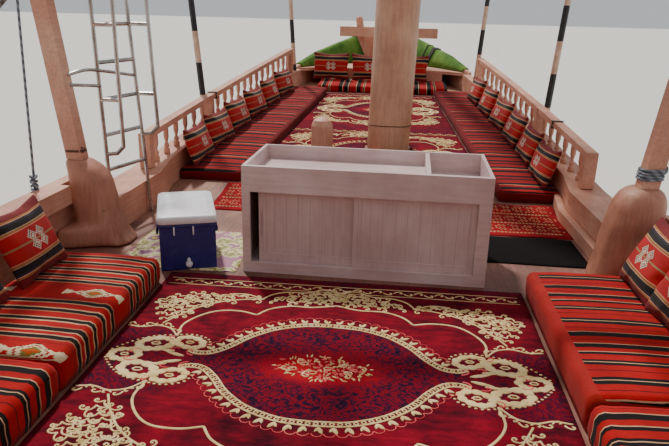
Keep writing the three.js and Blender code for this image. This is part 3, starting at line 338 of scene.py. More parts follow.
BLOCK_BANDS = [(0.000, BLACK), (0.060, CREAM), (0.072, BLACK), (0.084, RED), (0.190, CREAM), (0.200, BLACK),
               (0.262, RED), (0.300, CREAM), (0.310, BLACK), (0.325, CREAM), (0.335, RED), (0.470, BLACK),
               (0.530, CREAM), (0.540, RED)]
mattress_wool = woven_wool("striped_wool_with_diamonds", 0.616, DIAMOND_BANDS, motif=(0.62, 0.428, 0.046))
plain_wool = woven_wool("striped_wool", 0.570, PLAIN_BANDS)
fore_wool = woven_wool("fine_striped_wool", 0.490, FINE_BANDS, border=(0.135, "#7c040c"))
edged_wool = woven_wool("striped_wool_with_a_red_edge", 0.570, PLAIN_BANDS, border=(0.212, "#b8241f"))
bow_wool = woven_wool("blocked_wool", 0.560, BLOCK_BANDS)


def cushion_wool():
    """The same wool, with bands near both edges of the cushion and a stepped cluster on a tan line across the
    middle. The cloth attribute is metres across and up from the middle."""
    material, tree, surface = finish("banded_cushion_wool", Roughness=0.88, Sheen_Weight=0.04)
    place = add(tree, "Attribute", out="Vector", attribute_name="cloth")
    across, up = add(tree, "SeparateXYZ", {"Vector": place}).node.outputs[:2]
    high = add(tree, "Math", (up,), operation="ABSOLUTE")
    share = add(tree, "Math", (high, 0.25), operation="DIVIDE")
    bands = ((0.0, "#a5875c"), (0.020, RED), (0.36, CREAM), (0.38, RED), (0.40, "#b99a4a"), (0.42, BLACK),
             (0.43, CREAM), (0.45, BLACK), (0.60, "#2c2230"), (0.66, CREAM), (0.68, RED), (0.70, "#b99a4a"),
             (0.72, DEEP))
    ground = add(tree, "ValToRGB", {"Fac": share}, bands)
    wide = add(tree, "Math", (across,), operation="ABSOLUTE")
    cell = 0.009
    u = add(tree, "Math", (wide, cell), operation="SNAP")
    v = add(tree, "Math", (high, cell), operation="SNAP")
    # Two small ringed diamonds side by side, above the line and below it
    shifted = add(tree, "Math", (u, 0.036), operation="SUBTRACT")
    near = add(tree, "Math", (shifted,), operation="ABSOLUTE")
    raised = add(tree, "Math", (v, 0.027), operation="SUBTRACT")
    lifted = add(tree, "Math", (raised,), operation="ABSOLUTE")
    body = add(tree, "Math", (near, lifted), operation="ADD")
    ring = add(tree, "Math", (body, 0.06), operation="DIVIDE")
    tones = ((0.0, "#5d8a55"), (0.14, "#e9e4cf"), (0.44, "#17161a"), (0.56, "#e9e4cf"))
    drawn = add(tree, "ValToRGB", {"Fac": ring}, tones)
    inside = add(tree, "Math", (body, 0.040), operation="LESS_THAN")
    slant = add(tree, "Math", (u, v), operation="ADD")
    odd = add(tree, "Math", (slant, 0.018), operation="PINGPONG")
    keep = add(tree, "Math", (odd, 0.0045), operation="GREATER_THAN")
    sparse = add(tree, "Math", (inside, keep), operation="MULTIPLY")
    colour = add(tree, "MixRGB", {"Fac": sparse, "Color1": ground, "Color2": drawn})
    cloudy = add(tree, "TexNoise", {"Vector": place, "Scale": 6.0, "Detail": 5.0})
    tone = add(tree, "ValToRGB", {"Fac": cloudy}, [(0.3, "#cbbfbf"), (0.7, "#ffffff")])
    worn = add(tree, "MixRGB", {"Fac": 0.8, "Color1": colour, "Color2": tone}, blend_type="MULTIPLY")
    relief = add(tree, "Bump", {"Height": weave_height(tree, place, 0.005), "Strength": 0.4, "Distance": 0.0012})
    fill(tree, surface, {"Base Color": worn, "Normal": relief})
    return material


cushion_cloth = cushion_wool()


def clouded(name, pattern, stops, strength, distance, height=None, rough=None, **shader):
    """A finish whose colour follows one noise, and its roughness too where a range is given. height makes another
    pattern for the relief, and distance is how deep it is in metres."""
    material, tree, surface = finish(name, **shader)
    spot = add(tree, "TexCoord", out="Object")
    clouds = add(tree, "TexNoise", {"Vector": spot, **pattern})
    relief = add(tree, "Bump", {"Height": height(tree, spot) if height else clouds, "Strength": strength,
                                "Distance": distance})
    fill(tree, surface, {"Base Color": add(tree, "ValToRGB", {"Fac": clouds}, stops), "Normal": relief})
    if rough:
        dulled = add(tree, "MapRange", {"Value": clouds, "To Min": rough[0], "To Max": rough[1]})
        fill(tree, surface, {"Roughness": dulled})
    return material


def cut_pile(name, base, dark, bright, blotch=2.2, field=False):
    """Machine-woven carpet of cut wool pile: it shades light and dark as the pile leans, in clouds and streaks."""
    material, tree, surface = finish(name, Roughness=0.95, Specular_IOR_Level=0.15)
    spot = add(tree, "TexCoord", out="Object")
    clouds = add(tree, "TexNoise", {"Vector": spot, "Scale": blotch, "Detail": 9.0, "Roughness": 0.72,
                                    "Distortion": 0.6})
    drawn_out = add(tree, "Mapping", {"Vector": spot, "Scale": (0.35, 1.0, 1.0)})
    streaks = add(tree, "TexNoise", {"Vector": drawn_out, "Scale": 26.0, "Detail": 5.0})
    mixed = add(tree, "MixRGB", {"Fac": 0.38, "Color1": clouds, "Color2": streaks})
    colour = add(tree, "ValToRGB", {"Fac": mixed}, [(0.36, dark), (0.5, base), (0.66, bright)])
    if field:
        # The field attribute says how far the ground turns purple, and how far scarlet
        field = add(tree, "Attribute", out="Vector", attribute_name="field")
        purple, scarlet = add(tree, "SeparateXYZ", {"Vector": field}).node.outputs[:2]
        curls = add(tree, "TexNoise", {"Vector": spot, "Scale": 21.0, "Detail": 3.0, "Distortion": 2.5})
        figure = add(tree, "ValToRGB", {"Fac": curls}, [(0.40, "#1c0626"), (0.47, "#48082a"), (0.56, "#78041c")])
        colour = add(tree, "MixRGB", {"Fac": purple, "Color1": colour, "Color2": figure})
        core = add(tree, "ValToRGB", {"Fac": clouds}, [(0.4, "#7a0618"), (0.6, "#b80e1c")])
        colour = add(tree, "MixRGB", {"Fac": scarlet, "Color1": colour, "Color2": core})
    # Tufts of about 3 mm, drawn at 6 mm so that they show
    tufts = add(tree, "TexVoronoi", {"Vector": spot, "Scale": 170.0})
    relief = add(tree, "Bump", {"Height": tufts, "Strength": 0.6, "Distance": 0.003})
    fill(tree, surface, {"Base Color": colour, "Normal": relief})
    return material


crimson_pile = cut_pile("crimson_cut_pile", "#6c041c", "#26020f", "#960824", field=True)
rug_pile = cut_pile("crimson_rug_pile", "#8c0b18", "#5c0510", "#b31824", blotch=6.0)
cream_pile = cut_pile("cream_cut_pile", "#e6cf95", "#cbac70", "#f1e0b4", blotch=12.0)
rose_pile = cut_pile("rose_cut_pile", "#e05a5c", "#b02a38", "#f08a80", blotch=12.0)


def ropework(name, colour, shade, pitch=0.03):
    """Laid rope: three strands twist round each other, with painted shade in the grooves between them slanting across
    it at the lay's pitch.
    """
    material, tree, surface = finish(name, Roughness=0.82, Sheen_Weight=0.1)
    spot = add(tree, "TexCoord", out="Object")
    lay = add(tree, "TexWave", {"Vector": spot, "Scale": WAVE / pitch, "Distortion": 1.5},
              bands_direction="DIAGONAL")
    # Painted shade: the grooves between the strands take the shade colour, the strands their own
    toned = add(tree, "ValToRGB", {"Fac": lay}, [(0.2, shade), (0.7, colour)])
    relief = add(tree, "Bump", {"Height": lay, "Strength": 0.6, "Distance": 0.003})
    fill(tree, surface, {"Base Color": toned, "Normal": relief})
    return material


grey_rope = ropework("blue_grey_rope", "#8d96a0", "#5c6670")
dark_rope = ropework("tarred_rope", "#2a2624", "#141210", 0.02)
tan_cord = ropework("tan_hemp_cord", "#7c5644", "#4c3226", 0.012)
hemp_rope = ropework("hemp_stay_rope", "#8c8578", "#5f5a50", 0.04)


def orange_peel(tree, spot):
    return add(tree, "TexNoise", {"Vector": spot, "Scale": 400.0, "Detail": 1.0})


def drawn_scratches(tree, spot):
    drawn_out = add(tree, "Mapping", {"Vector": spot, "Scale": (1.0, 1.0, 0.04)})
    return add(tree, "TexNoise", {"Vector": drawn_out, "Scale": 120.0, "Detail": 2.0})


# Rotationally moulded polyethylene: waxy, with a fine orange-peel skin and scuffs
SCUFFS = {"Scale": 14.0, "Detail": 8.0, "Roughness": 0.7}
blue_plastic, white_plastic = [
    clouded(name, SCUFFS, [(0.5, colour), (0.78, scuffed)], 0.15, 0.0004, orange_peel, rough, IOR=1.5,
            Subsurface_Weight=0.03)
    for name, colour, scuffed, rough in [("dark_blue_polyethylene", "#1e1f6e", "#383988", (0.34, 0.54)),
                                         ("white_polyethylene", "#e4e6ec", "#feffff", (0.36, 0.56))]]

# Metal worn by hands and weather: drawn scratches and dull patches
PATCHES = {"Scale": 7.0, "Detail": 8.0}
stainless, bronze = [
    clouded(name, PATCHES, [(0.35, dark), (0.6, colour)], 0.1, 0.0004, drawn_scratches, rough, Metallic=1.0)
    for name, dark, colour, rough in [("polished_stainless", "#a09f9c", "#c9c7c4", (0.16, 0.38)),
                                      ("cast_bronze", "#7b552e", "#9a6b3a", (0.38, 0.60))]]


def banded_pole(name, first):
    """Steel tube brushed with enamel in black and pale bands about 0.35 m deep. first is where a black one starts."""
    material, tree, surface = finish(name, Coat_Weight=0.1)
    spot = add(tree, "TexCoord", out="Object")
    up = add(tree, "SeparateXYZ", {"Vector": spot}, out=2)
    shifted = add(tree, "Math", (up, first), operation="SUBTRACT")
    turn = add(tree, "Math", (shifted, 0.70), operation="FLOORED_MODULO")
    pale = add(tree, "Math", (turn, 0.36), operation="GREATER_THAN")
    smears = add(tree, "TexNoise", {"Vector": spot, "Scale": 16.0, "Detail": 6.0})
    black = add(tree, "ValToRGB", {"Fac": smears}, [(0.4, "#101014"), (0.7, "#26262c")])
    cream = add(tree, "ValToRGB", {"Fac": smears}, [(0.4, "#c9a48c"), (0.7, "#e2c2ac")])
    toned = add(tree, "MixRGB", {"Fac": pale, "Color1": black, "Color2": cream})
    dulled = add(tree, "MapRange", {"Value": smears, "To Min": 0.3, "To Max": 0.6})
    relief = add(tree, "Bump", {"Height": smears, "Strength": 0.15, "Distance": 0.001})
    fill(tree, surface, {"Base Color": toned, "Roughness": dulled, "Normal": relief})
    return material


fore_pole_enamel = banded_pole("banded_enamel_fore_pole", 1.655)
port_pole_enamel = banded_pole("banded_enamel_bow_port_pole", 2.095)
starboard_pole_enamel = banded_pole("banded_enamel_bow_starboard_pole", 2.025)


def turf_finish():
    """Tufted polyethylene grass: 20 mm blades, lighter where they are bleached and flattened."""
    material, tree, surface = finish("artificial_turf", Roughness=0.8, Specular_IOR_Level=0.2)
    spot = add(tree, "TexCoord", out="Object")
    bleach = add(tree, "TexNoise", {"Vector": spot, "Scale": 3.5, "Detail": 6.0})
    blades = add(tree, "TexNoise", {"Vector": spot, "Scale": 140.0, "Detail": 3.0})
    mixed = add(tree, "MixRGB", {"Fac": 0.5, "Color1": bleach, "Color2": blades})
    tones = [(0.34, "#2c4d1b"), (0.5, "#4f7d2b"), (0.66, "#86a84a")]
    toned = add(tree, "ValToRGB", {"Fac": mixed}, tones)
    relief = add(tree, "Bump", {"Height": blades, "Strength": 0.9, "Distance": 0.008})
    fill(tree, surface, {"Base Color": toned, "Normal": relief})
    return material


turf_grass = turf_finish()


def printed_vinyl():
    """Printed vinyl mat: faded blooms in rose, yellow and green on cream, under a slightly shiny film."""
    material, tree, surface = finish("printed_vinyl_mat", Roughness=0.5, Coat_Weight=0.1)
    spot = add(tree, "TexCoord", out="Object")
    blooms = add(tree, "TexVoronoi", {"Vector": spot, "Scale": 6.0, "Randomness": 0.8}).node
    petals = add(tree, "TexNoise", {"Vector": spot, "Scale": 24.0, "Detail": 3.0})
    size = add(tree, "Math", (petals, 0.5, blooms.outputs["Distance"]), operation="MULTIPLY_ADD")
    tones = ((0.0, "#cdb22e"), (0.38, "#7d3f6c"), (0.52, "#b58a90"), (0.60, "#d9cf9c"), (0.72, "#8f8a3a"),
             (0.82, "#d8cd98"), (0.92, "#a86a88"))
    toned = add(tree, "ValToRGB", {"Fac": size}, tones)
    relief = add(tree, "Bump", {"Height": petals, "Strength": 0.2, "Distance": 0.001})
    fill(tree, surface, {"Base Color": toned, "Normal": relief})
    return material


vinyl_print = printed_vinyl()


def open_mesh():
    """Extruded rubber mesh in 20 mm cells over the deck: nearly black, with painted shade in the holes."""
    material, tree, surface = finish("rubber_mesh_matting", Roughness=0.9, Specular_IOR_Level=0.1)
    spot = add(tree, "TexCoord", out="Object")
    across, ahead = add(tree, "SeparateXYZ", {"Vector": spot}).node.outputs[:2]
    turns = tuple(add(tree, "Math", (way, 0.010), operation="PINGPONG") for way in (across, ahead))
    least = add(tree, "Math", turns, operation="MINIMUM")
    web = add(tree, "Math", (least, 0.003), operation="LESS_THAN")
    # Painted shade: the holes take a darker colour than the strands
    toned = add(tree, "MixRGB", {"Fac": web, "Color1": "#070506", "Color2": "#191415"})
    relief = add(tree, "Bump", {"Height": web, "Strength": 0.8, "Distance": 0.004})
    fill(tree, surface, {"Base Color": toned, "Normal": relief})
    return material


mesh_rubber = open_mesh()


# Cotton sailcloth, sun-bleached and stained in broad clouds
sailcloth = clouded("cotton_sailcloth", {"Scale": 2.2, "Detail": 8.0, "Roughness": 0.7},
                    [(0.32, "#b8a684"), (0.5, "#dccfb4"), (0.7, "#ece2cc")], 0.3, 0.001,
                    lambda tree, spot: weave_height(tree, spot, 0.006), Roughness=0.9, Sheen_Weight=0.15)
oiled_spar = painted_timber("oiled_spar_wood", "#a97f55", "#bf9a6c", "#80593a", along="Y", gloss=0.5)
# Black woven strap, matt with a fine thread
black_cover = clouded("black_sheathing", {"Scale": 9.0, "Detail": 5.0}, [(0.3, "#100f11"), (0.65, "#201e20")], 0.3,
                      0.0008, lambda tree, spot: weave_height(tree, spot, 0.004), Roughness=0.85, Sheen_Weight=0.04)
# Clear float glass: a faint green body and sharp reflections
float_glass = clouded("window_glass", {"Scale": 3.0, "Detail": 1.0}, [(0.3, "#dcebe6"), (0.7, "#eef6f2")], 0.05,
                      0.002, Roughness=0.04, IOR=1.52, Transmission_Weight=0.92)

# Carried CAD nodes: their finish, and the width in mm of the worn arris that a bevel gives them
CARRIED = [
    (hull_paint, 0, "hull"),
    (painted_timber("bottom_paint_on_the_keel", "#7c4a3c", "#8a5646", "#5f3428", along="Y", gloss=0.7), 6,
     "keel_and_stem"),
    (timber_along, 8, "bulwark_port bulwark_starboard cap_rail_port cap_rail_starboard sill_port sill_starboard"
                      " bow_bulwark_port bow_bulwark_starboard bow_platform"),
    (timber_along, 4, "balustrade_port balustrade_starboard"),
    (timber_across, 10, "stern_board bow_crossbeam"),
    (head_paint, 0, "timber_head_port timber_head_starboard"),
    (timber_upright, 10, "samson_post"),
    (timber_along, 8, "awning_frame"),
    (fore_pole_enamel, 3, "pole_fore_port pole_fore_starboard"),
    (port_pole_enamel, 3, "pole_bow_port"),
    (starboard_pole_enamel, 3, "pole_bow_starboard"),
    (mast_paint, 4, "mast"),
    (hemp_rope, 2, "stays_port stays_starboard"),
    (stainless, 0, "boarding_ladder"),
    (cabinet_paint, 2.5, "cabinet"),
    (door_paint, 2, "cabinet_door_left cabinet_door_right"),
    (blue_plastic, 12, "cool_box"),
    (white_plastic, 12, "cool_box_lid"),
    (timber_house, 6, "wheelhouse wheelhouse_door"),
    (timber_across, 12, "wheelhouse_roof"),
    (oiled_spar, 2, "yard helm_wheel"),
    (timber_upright, 8, "rudder"),
    (bronze, 2, "propeller"),
]
# The starts of the names of round nodes, which are shaded smooth
ROUND = ("pole_", "mast", "samson", "stays", "boarding", "yard", "helm")


def dress_carried():
    for material, width, names in CARRIED:
        for name in names.split():
            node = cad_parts[name]
            node.data.materials.clear()
            node.data.materials.append(material)
            if width:
                bevel = node.modifiers.new("worn_arris", "BEVEL")
                bevel.width, bevel.segments, bevel.limit_method = width / 1000, 2, "ANGLE"
                bevel.angle_limit = math.radians(40)
                bevel.use_clamp_overlap = True
            if name.startswith("timber_head"):
                # Adzed and worn heads have no straight edge left
                fair = node.modifiers.new("faired", "REMESH")
                fair.mode, fair.voxel_size, fair.use_smooth_shade = "VOXEL", 0.015, True
                worn = node.modifiers.new("worn_round", "SMOOTH")
                worn.factor, worn.iterations = 0.5, 26
                continue
            node.modifiers.new("smooth_faces", "WEIGHTED_NORMAL").keep_sharp = True
            for polygon in node.data.polygons:
                polygon.use_smooth = name.startswith(ROUND)


dress_carried()


# Making and placing pieces
def make(name, points, faces, material, body="root", smooth=True, cloth=None):
    """A piece from points and faces, riding on a body. cloth gives each point's place on its cloth, in metres."""
    mesh = bpy.data.meshes.new(name)
    mesh.from_pydata([tuple(p) for p in points], [], faces)
    mesh.materials.append(material)
    mesh.polygons.foreach_set("use_smooth", [smooth] * len(faces))
    if cloth is not None:
        laid = mesh.attributes.new("cloth", "FLOAT_VECTOR", "POINT")
        laid.data.foreach_set("vector", np.array(cloth, float).ravel())
    mesh.update()
    made = bpy.data.objects.new(name, mesh)
    bpy.context.scene.collection.objects.link(made)
    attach(made, body)
    return made


def skin(rings, closed=False):
    """Points and faces of a skin over rings of equal length, with both ends filled unless it closes on itself."""
    size, count = len(rings[0]), len(rings)
    points = [p for ring in rings for p in ring]
    faces = []
    for i in range(count if closed else count - 1):
        a, b = i * size, (i + 1) % count * size
        faces += [(a + j, a + (j + 1) % size, b + (j + 1) % size, b + j) for j in range(size)]
    if not closed:
        faces += [tuple(reversed(range(size))), tuple(range((count - 1) * size, count * size))]
    return points, faces


def turned(faces):
    """The same faces, looking the other way."""
    return [tuple(reversed(face)) for face in faces]


def together(parts):
    """Several skins as one."""
    points, faces = [], []
    for some, round_them in parts:
        start = len(points)
        points += list(some)
        faces += [tuple(i + start for i in face) for face in round_them]
    return points, faces


def eased(path, count):
    """A smooth curve through the points of a path, with this many points to each of its lengths."""
    path = [Vector(p) for p in path]
    curve = []
    for i, (b, c) in enumerate(zip(path, path[1:])):
        a = path[i - 1] if i else b * 2 - c
        d = path[i + 2] if i + 2 < len(path) else c * 2 - b
        for k in range(count):
            t = k / count
            curve.append(0.5 * ((2 * b) + (c - a) * t + (2 * a - 5 * b + 4 * c - d) * t * t
                                + (3 * b - a - 3 * c + d) * t * t * t))
    return curve + [path[-1]]


def strand(path, radius, sides=8, closed=False, flat=1.0):
    """A rope, tube or strap along a path. radius is a number or one for each point, flat squeezes it."""
    path = [Vector(p) for p in path]
    count = len(path)
    radii = [radius] * count if isinstance(radius, (int, float)) else radius
    turns = [2 * math.pi * k / sides for k in range(sides)]
    rings, lift = [], None
    for i, p in enumerate(path):
        ahead = path[(i + 1) % count] if closed or i + 1 < count else p
        behind = path[i - 1] if closed or i else p
        tangent = (ahead - behind).normalized()
        if lift is None:
            lift = Vector((0, 0, 1)) if abs(tangent.z) < 0.9 else Vector((1, 0, 0))
        lift = (lift - tangent * lift.dot(tangent)).normalized()
        side = tangent.cross(lift)
        rings.append([p + side * (math.cos(a) * radii[i]) + lift * (math.sin(a) * radii[i] * flat) for a in turns])
    return skin(rings, closed)


def box(low, high):
    """A closed box between two corners."""
    (x0, y0, z0), (x1, y1, z1) = low, high
    return skin([[(x0, y0, z), (x1, y0, z), (x1, y1, z), (x0, y1, z)] for z in (z0, z1)])


def arris(made, width):
    """Eases the edges of a made piece, as a plane or a mould leaves them."""
    bevel = made.modifiers.new("arris", "BEVEL")
    bevel.width, bevel.segments, bevel.limit_method, bevel.angle_limit = width, 2, "ANGLE", math.radians(35)
    made.modifiers.new("faces", "WEIGHTED_NORMAL").keep_sharp = True
    return made


def wander(x, y, scale, seed=0.0):
    """Smooth noise from about -1 to 1."""
    return noise.noise(Vector((x * scale, y * scale, seed)))


def even(start, end, pitch):
    """Even stations, at about this pitch."""
    count = max(2, round((end - start) / pitch))
    return [start + (end - start) * i / count for i in range(count + 1)]


# Floor and light: pale, plain and soft, with the key high from port ahead
def set_studio():
    material = finish("pale_floor", Base_Color=linear("#dfddd8"), Roughness=0.9)[0]
    reach = 200
    corners = [(-reach, -reach, 0), (reach, -reach, 0), (reach, reach, 0), (-reach, reach, 0)]
    floor = make("studio_floor", corners, [(0, 1, 2, 3)], material)
    world = bpy.data.worlds.new("soft_studio")
    world.use_nodes = True
    fill(world.node_tree, world.node_tree.nodes["Background"], {"Color": "#eef0f4", "Strength": 0.62})
    bpy.context.scene.world = world
    key = bpy.data.lights.new("key", "SUN")
    key.energy, key.angle, key.color = 3.4, math.radians(4), (1.0, 0.94, 0.87)
    lamp = bpy.data.objects.new("key", key)
    lamp.rotation_euler = Vector((0.34, -0.62, -1.0)).to_track_quat("-Z", "Y").to_euler()
    bpy.context.scene.collection.objects.link(lamp)


set_studio()

# Mattresses: long wool-covered pads, crowned and wrinkled, with a rolled edge
PAD_SECTION = [(0.00, 0.00), (-0.012, 0.30), (-0.016, 0.55), (-0.012, 0.78), (0.000, 0.93), (0.022, 1.00),
               (0.060, 1.00)]
PAD_CROWN = [0.16, 0.3, 0.5, 0.7, 0.84]
WRINKLE = 0.004


def mattress(name, stations, low, high, inner, outer, side, material, along="y", seed=1.0):
    """A padded length from station to station. inner and outer give its edges, low and high its heights. The
    cloth's bands run across it, so the first cloth number is metres along."""
    rings, laid = [], []
    last_inner, first_outer = len(PAD_SECTION), len(PAD_SECTION) + len(PAD_CROWN)
    for s in stations:
        gap = min(s - stations[0], stations[-1] - s)
        pull = max(0.0, 1 - gap / 0.05)
        inset, fall = 0.016 * pull ** 3, 0.30 * pull ** 3
        z0, z1 = low(s), high(s)
        rise = (z1 - z0) * (1 - fall)
        a, b = inner(s) + inset, outer(s) - inset
        ring = [(a + d, z0 + rise * share) for d, share in PAD_SECTION]
        ring += [(a + (b - a) * t, z0 + rise * (1 + 0.05 * math.sin(math.pi * t))) for t in PAD_CROWN]
        ring += [(b - d, z0 + rise * share) for d, share in reversed(PAD_SECTION)]
        for k, (u, z) in enumerate(ring):
            share = (z - z0) / (z1 - z0)
            sway = wander(s, u * 0.35 + z, 9.0, seed) * WRINKLE + wander(s * 2.6, u, 8.0, seed + 3) * WRINKLE * 0.7
            # The inner face is stitched in half way up
            pucker = -0.010 * max(0.0, 1 - abs(share - 0.55) / 0.12) if k < last_inner else 0.0
            push = 1 if k < last_inner else -1 if k >= first_outer else 0
            ring[k] = (u + (sway * 1.2 + pucker * -0.6) * push * (share > 0.02), z + sway * min(1.0, share * 1.6))
        lap = [0.0]
        for before, after in zip(ring, ring[1:]):
            lap.append(lap[-1] + math.dist(after, before))
        rings.append([(side * u, s, z) if along == "y" else (s, u, z) for u, z in ring])
        laid += [(s, t if gap > 0.01 else 0.0, 0.0) for t in lap]
    points, faces = skin(rings)
    pad = make(name, points, turned(faces) if (side < 0) == (along == "y") else faces, material, cloth=laid)
    return pad


def steps(start, end, pitch):
    """Even stations, with closer ones at both ends where a pad rounds off."""
    near = [0.004, 0.014, 0.03]
    return sorted(set(even(start, end, pitch) + [start + d for d in near] + [end - d for d in near]))


def lay_mattresses():
    for name, side in SIDES.items():
        edges = (lambda y, name=name: seat_inner(name, y)), (lambda y: sill_inner(y) - 0.012)
        heights = (lambda y: deck_at(y) + 0.001), (lambda y: deck_at(y) + MATTRESS - 0.004)
        fore = mattress(f"fore_mattress_{name}", steps(SEAT_NEAR[name], SEAT_FAR, 0.045), *heights, *edges, side,
                        fore_wool, seed=2.0 + side)
        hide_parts(f"seating_fore_{name}")
        far = {"port": 0.400, "starboard": 0.540}[name]
        edges = (lambda y: 1.14), (lambda y: 1.82)
        heights = (lambda y: DECK + 0.001), (lambda y: DECK + NEAR_MATTRESS - 0.004)
        first = mattress(f"near_mattress_{name}_a", steps(-0.845, far, 0.04), *heights, *edges, side,
                         mattress_wool if side < 0 else edged_wool, seed=6.0 + side)
        second = mattress(f"near_mattress_{name}_b", steps(-4.150, -0.860, 0.06), *heights, *edges, side,
                          plain_wool, seed=8.0 + side)
        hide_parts(f"seating_near_{name}")
        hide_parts(f"seating_near_{name}")
    foot = deck_at(BOW_SEAT)
    bow = mattress("bow_mattress", steps(-1.010, 1.080, 0.04), lambda x: foot - 0.02, lambda x: foot + MATTRESS,
                   lambda x: 7.190, lambda x: 7.860, 1, bow_wool, along="x", seed=11.0)
    # It lies across the ramp, so it is tilted with it
    for vertex in bow.data.vertices:
        vertex.co.z += RAMP_SLOPE * (vertex.co.y - BOW_SEAT) + (0.021 if vertex.co.z < foot else 0.0)
    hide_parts("seating_bow")


lay_mattresses()

# Cushions: each is a simulated pillow, copied, bent a little its own way and leaned back
PILLOW_SIZE = {"near": (0.520, 0.450), "fore": (0.635, 0.385), "bow": (0.620, 0.460)}
PILLOW_DEPTH = 0.150


def sewn_pillow(kind, corner_ears, seed):
    """Two square covers sewn round the edge and blown up by cloth pressure, so that the sides pull in between the
    corners. Returns its mesh, with the flat cover's place kept for the pattern."""
    count = 22
    width, height = PILLOW_SIZE[kind]
    rng = random.Random(seed)
    points, laid, faces, at = [], [], [], {}
    for face in (0, 1):
        for j in range(count + 1):
            for i in range(count + 1):
                u, v = i / count * 2 - 1, j / count * 2 - 1
                edge = max(abs(u), abs(v)) > 0.999
                if edge and face:
                    at[1, i, j] = at[0, i, j]
                    continue
                ear = 1 + corner_ears * max(0.0, abs(u) * abs(v) - 0.55)
                thick = 0.0 if edge else (0.012 + 0.028 * (1 - u * u) * (1 - v * v)) * (1 if face else -1)
                at[face, i, j] = len(points)
                points.append((u * width / 2 * ear, thick + rng.uniform(-0.0008, 0.0008), v * height / 2 * ear))
                laid.append((u * width / 2, v * 0.25, 0.0))
    for face in (0, 1):
        for j in range(count):
            for i in range(count):
                quad = [at[face, i, j], at[face, i + 1, j], at[face, i + 1, j + 1], at[face, i, j + 1]]
                faces.append(tuple(quad if not face else reversed(quad)))
    pillow = make("pillow_pattern", points, faces, cushion_cloth, cloth=laid)
    before = np.array(points)
    cloth = pillow.modifiers.new("Cloth", "CLOTH")
    settings = cloth.settings
    settings.quality, settings.mass = 6, 0.25
    settings.tension_stiffness = settings.compression_stiffness = 22
    settings.shear_stiffness, settings.bending_stiffness = 8, 0.6
    settings.use_pressure, settings.uniform_pressure_force = True, 4.0
    settings.effector_weights.gravity = 0
    scene = bpy.context.scene
    for moment in range(1, 21):
        scene.frame_set(moment)
    blown = pillow.evaluated_get(bpy.context.evaluated_depsgraph_get()).data
    after = np.array([v.co[:] for v in blown.vertices])
    scene.frame_set(1)
    pillow.modifiers.remove(cloth)
    move = after - before
    length = np.maximum(np.linalg.norm(move, axis=1, keepdims=True), 1e-9)
    after = before + move * np.minimum(1.0, 0.075 / length)
    # The wool is stiffer than the simulated cloth, so its outline keeps more of the flat cover
    after[:, [0, 2]] = after[:, [0, 2]] * 0.50 + before[:, [0, 2]] * 0.50
    after[:, 0] *= width / np.ptp(after[:, 0])
    after[:, 2] *= height / np.ptp(after[:, 2])
    after[:, 1] *= PILLOW_DEPTH * 1.02 / np.ptp(after[:, 1])
    bpy.data.objects.remove(pillow)
    return after, laid, faces


SEWN = {kind: sewn_pillow(kind, corner_ears, seed)
        for kind, corner_ears, seed in [("near", 0.0, 4), ("fore", 0.03, 9), ("bow", 0.03, 15)]}


def set_cushion(name, node, place, turn, lean, kind, seed):
    """A copy of the sewn pillow, standing at its lower edge, turned to the side that it leans on."""
    shape, laid, faces = SEWN[kind]
    width, height = PILLOW_SIZE[kind]
    rng = random.Random(seed)
    bow, slump, twist = rng.uniform(-0.010, 0.022), rng.uniform(0.006, 0.030), rng.uniform(-0.09, 0.09)
    spin = (Matrix.Translation(place) @ Matrix.Rotation(turn + rng.uniform(-0.05, 0.05), 4, "Z")
            @ Matrix.Rotation(lean + rng.uniform(-0.04, 0.05), 4, "X"))
    points = []
    for x, y, z in shape:
        z += height / 2
        share = z / height
        y += bow * (1 - (x / (width / 2)) ** 2) + 0.012 * wander(x, z, 4.0, seed)
        z -= slump * share * share * (1 - 0.9 * (x / (width / 2)) ** 2)
        x += twist * (share - 0.3) * 0.3
        y = max(-PILLOW_DEPTH / 2, min(PILLOW_DEPTH / 2, y))
        points.append(spin @ Vector((x, y, z)))
    cushion = make(name, points, faces, cushion_cloth, cloth=laid)
    smooth = cushion.modifiers.new("rounded_cover", "SUBSURF")
    smooth.levels = smooth.render_levels = 1
    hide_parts(node)


def set_cushions():
    near = {"port": [0.04, -0.56, -1.12, -2.30, -3.30], "starboard": [0.26, -0.18, -0.80, -2.30, -3.30]}
    fore = {"port": [3.075, 3.720, 4.380, 5.060, 5.740, 6.420],
            "starboard": [2.900, 3.550, 4.210, 4.900, 5.590, 6.280]}
    sunk = 0.008
    for name, side in SIDES.items():
        for i, y in enumerate(near[name]):
            place = (side * 1.665, y, DECK + NEAR_MATTRESS - sunk)
            set_cushion(f"near_cushion_{name}_{i + 1}", f"seating_near_{name}", place, -side * math.pi / 2, -0.42,
                        "near", 20 + i + side)
        for i, y in enumerate(fore[name]):
            place = (side * (rail_at(y) - 0.262), y, deck_at(y) + MATTRESS - sunk)
            skew = (rail_at(y - 0.1) - rail_at(y + 0.1)) / 0.2
            set_cushion(f"fore_cushion_{name}_{i + 1}", f"seating_fore_{name}", place, -side * (math.pi / 2 - skew),
                        -0.36, "fore", 40 + i + side * 3)
    for i, x in enumerate([-0.835, -0.185, 0.465]):
        place = (x, 7.680, deck_at(7.680) + MATTRESS - sunk)
        set_cushion(f"bow_cushion_{i + 1}", "seating_bow", place, 0.0, -0.20, "bow", 70 + i)


set_cushions()


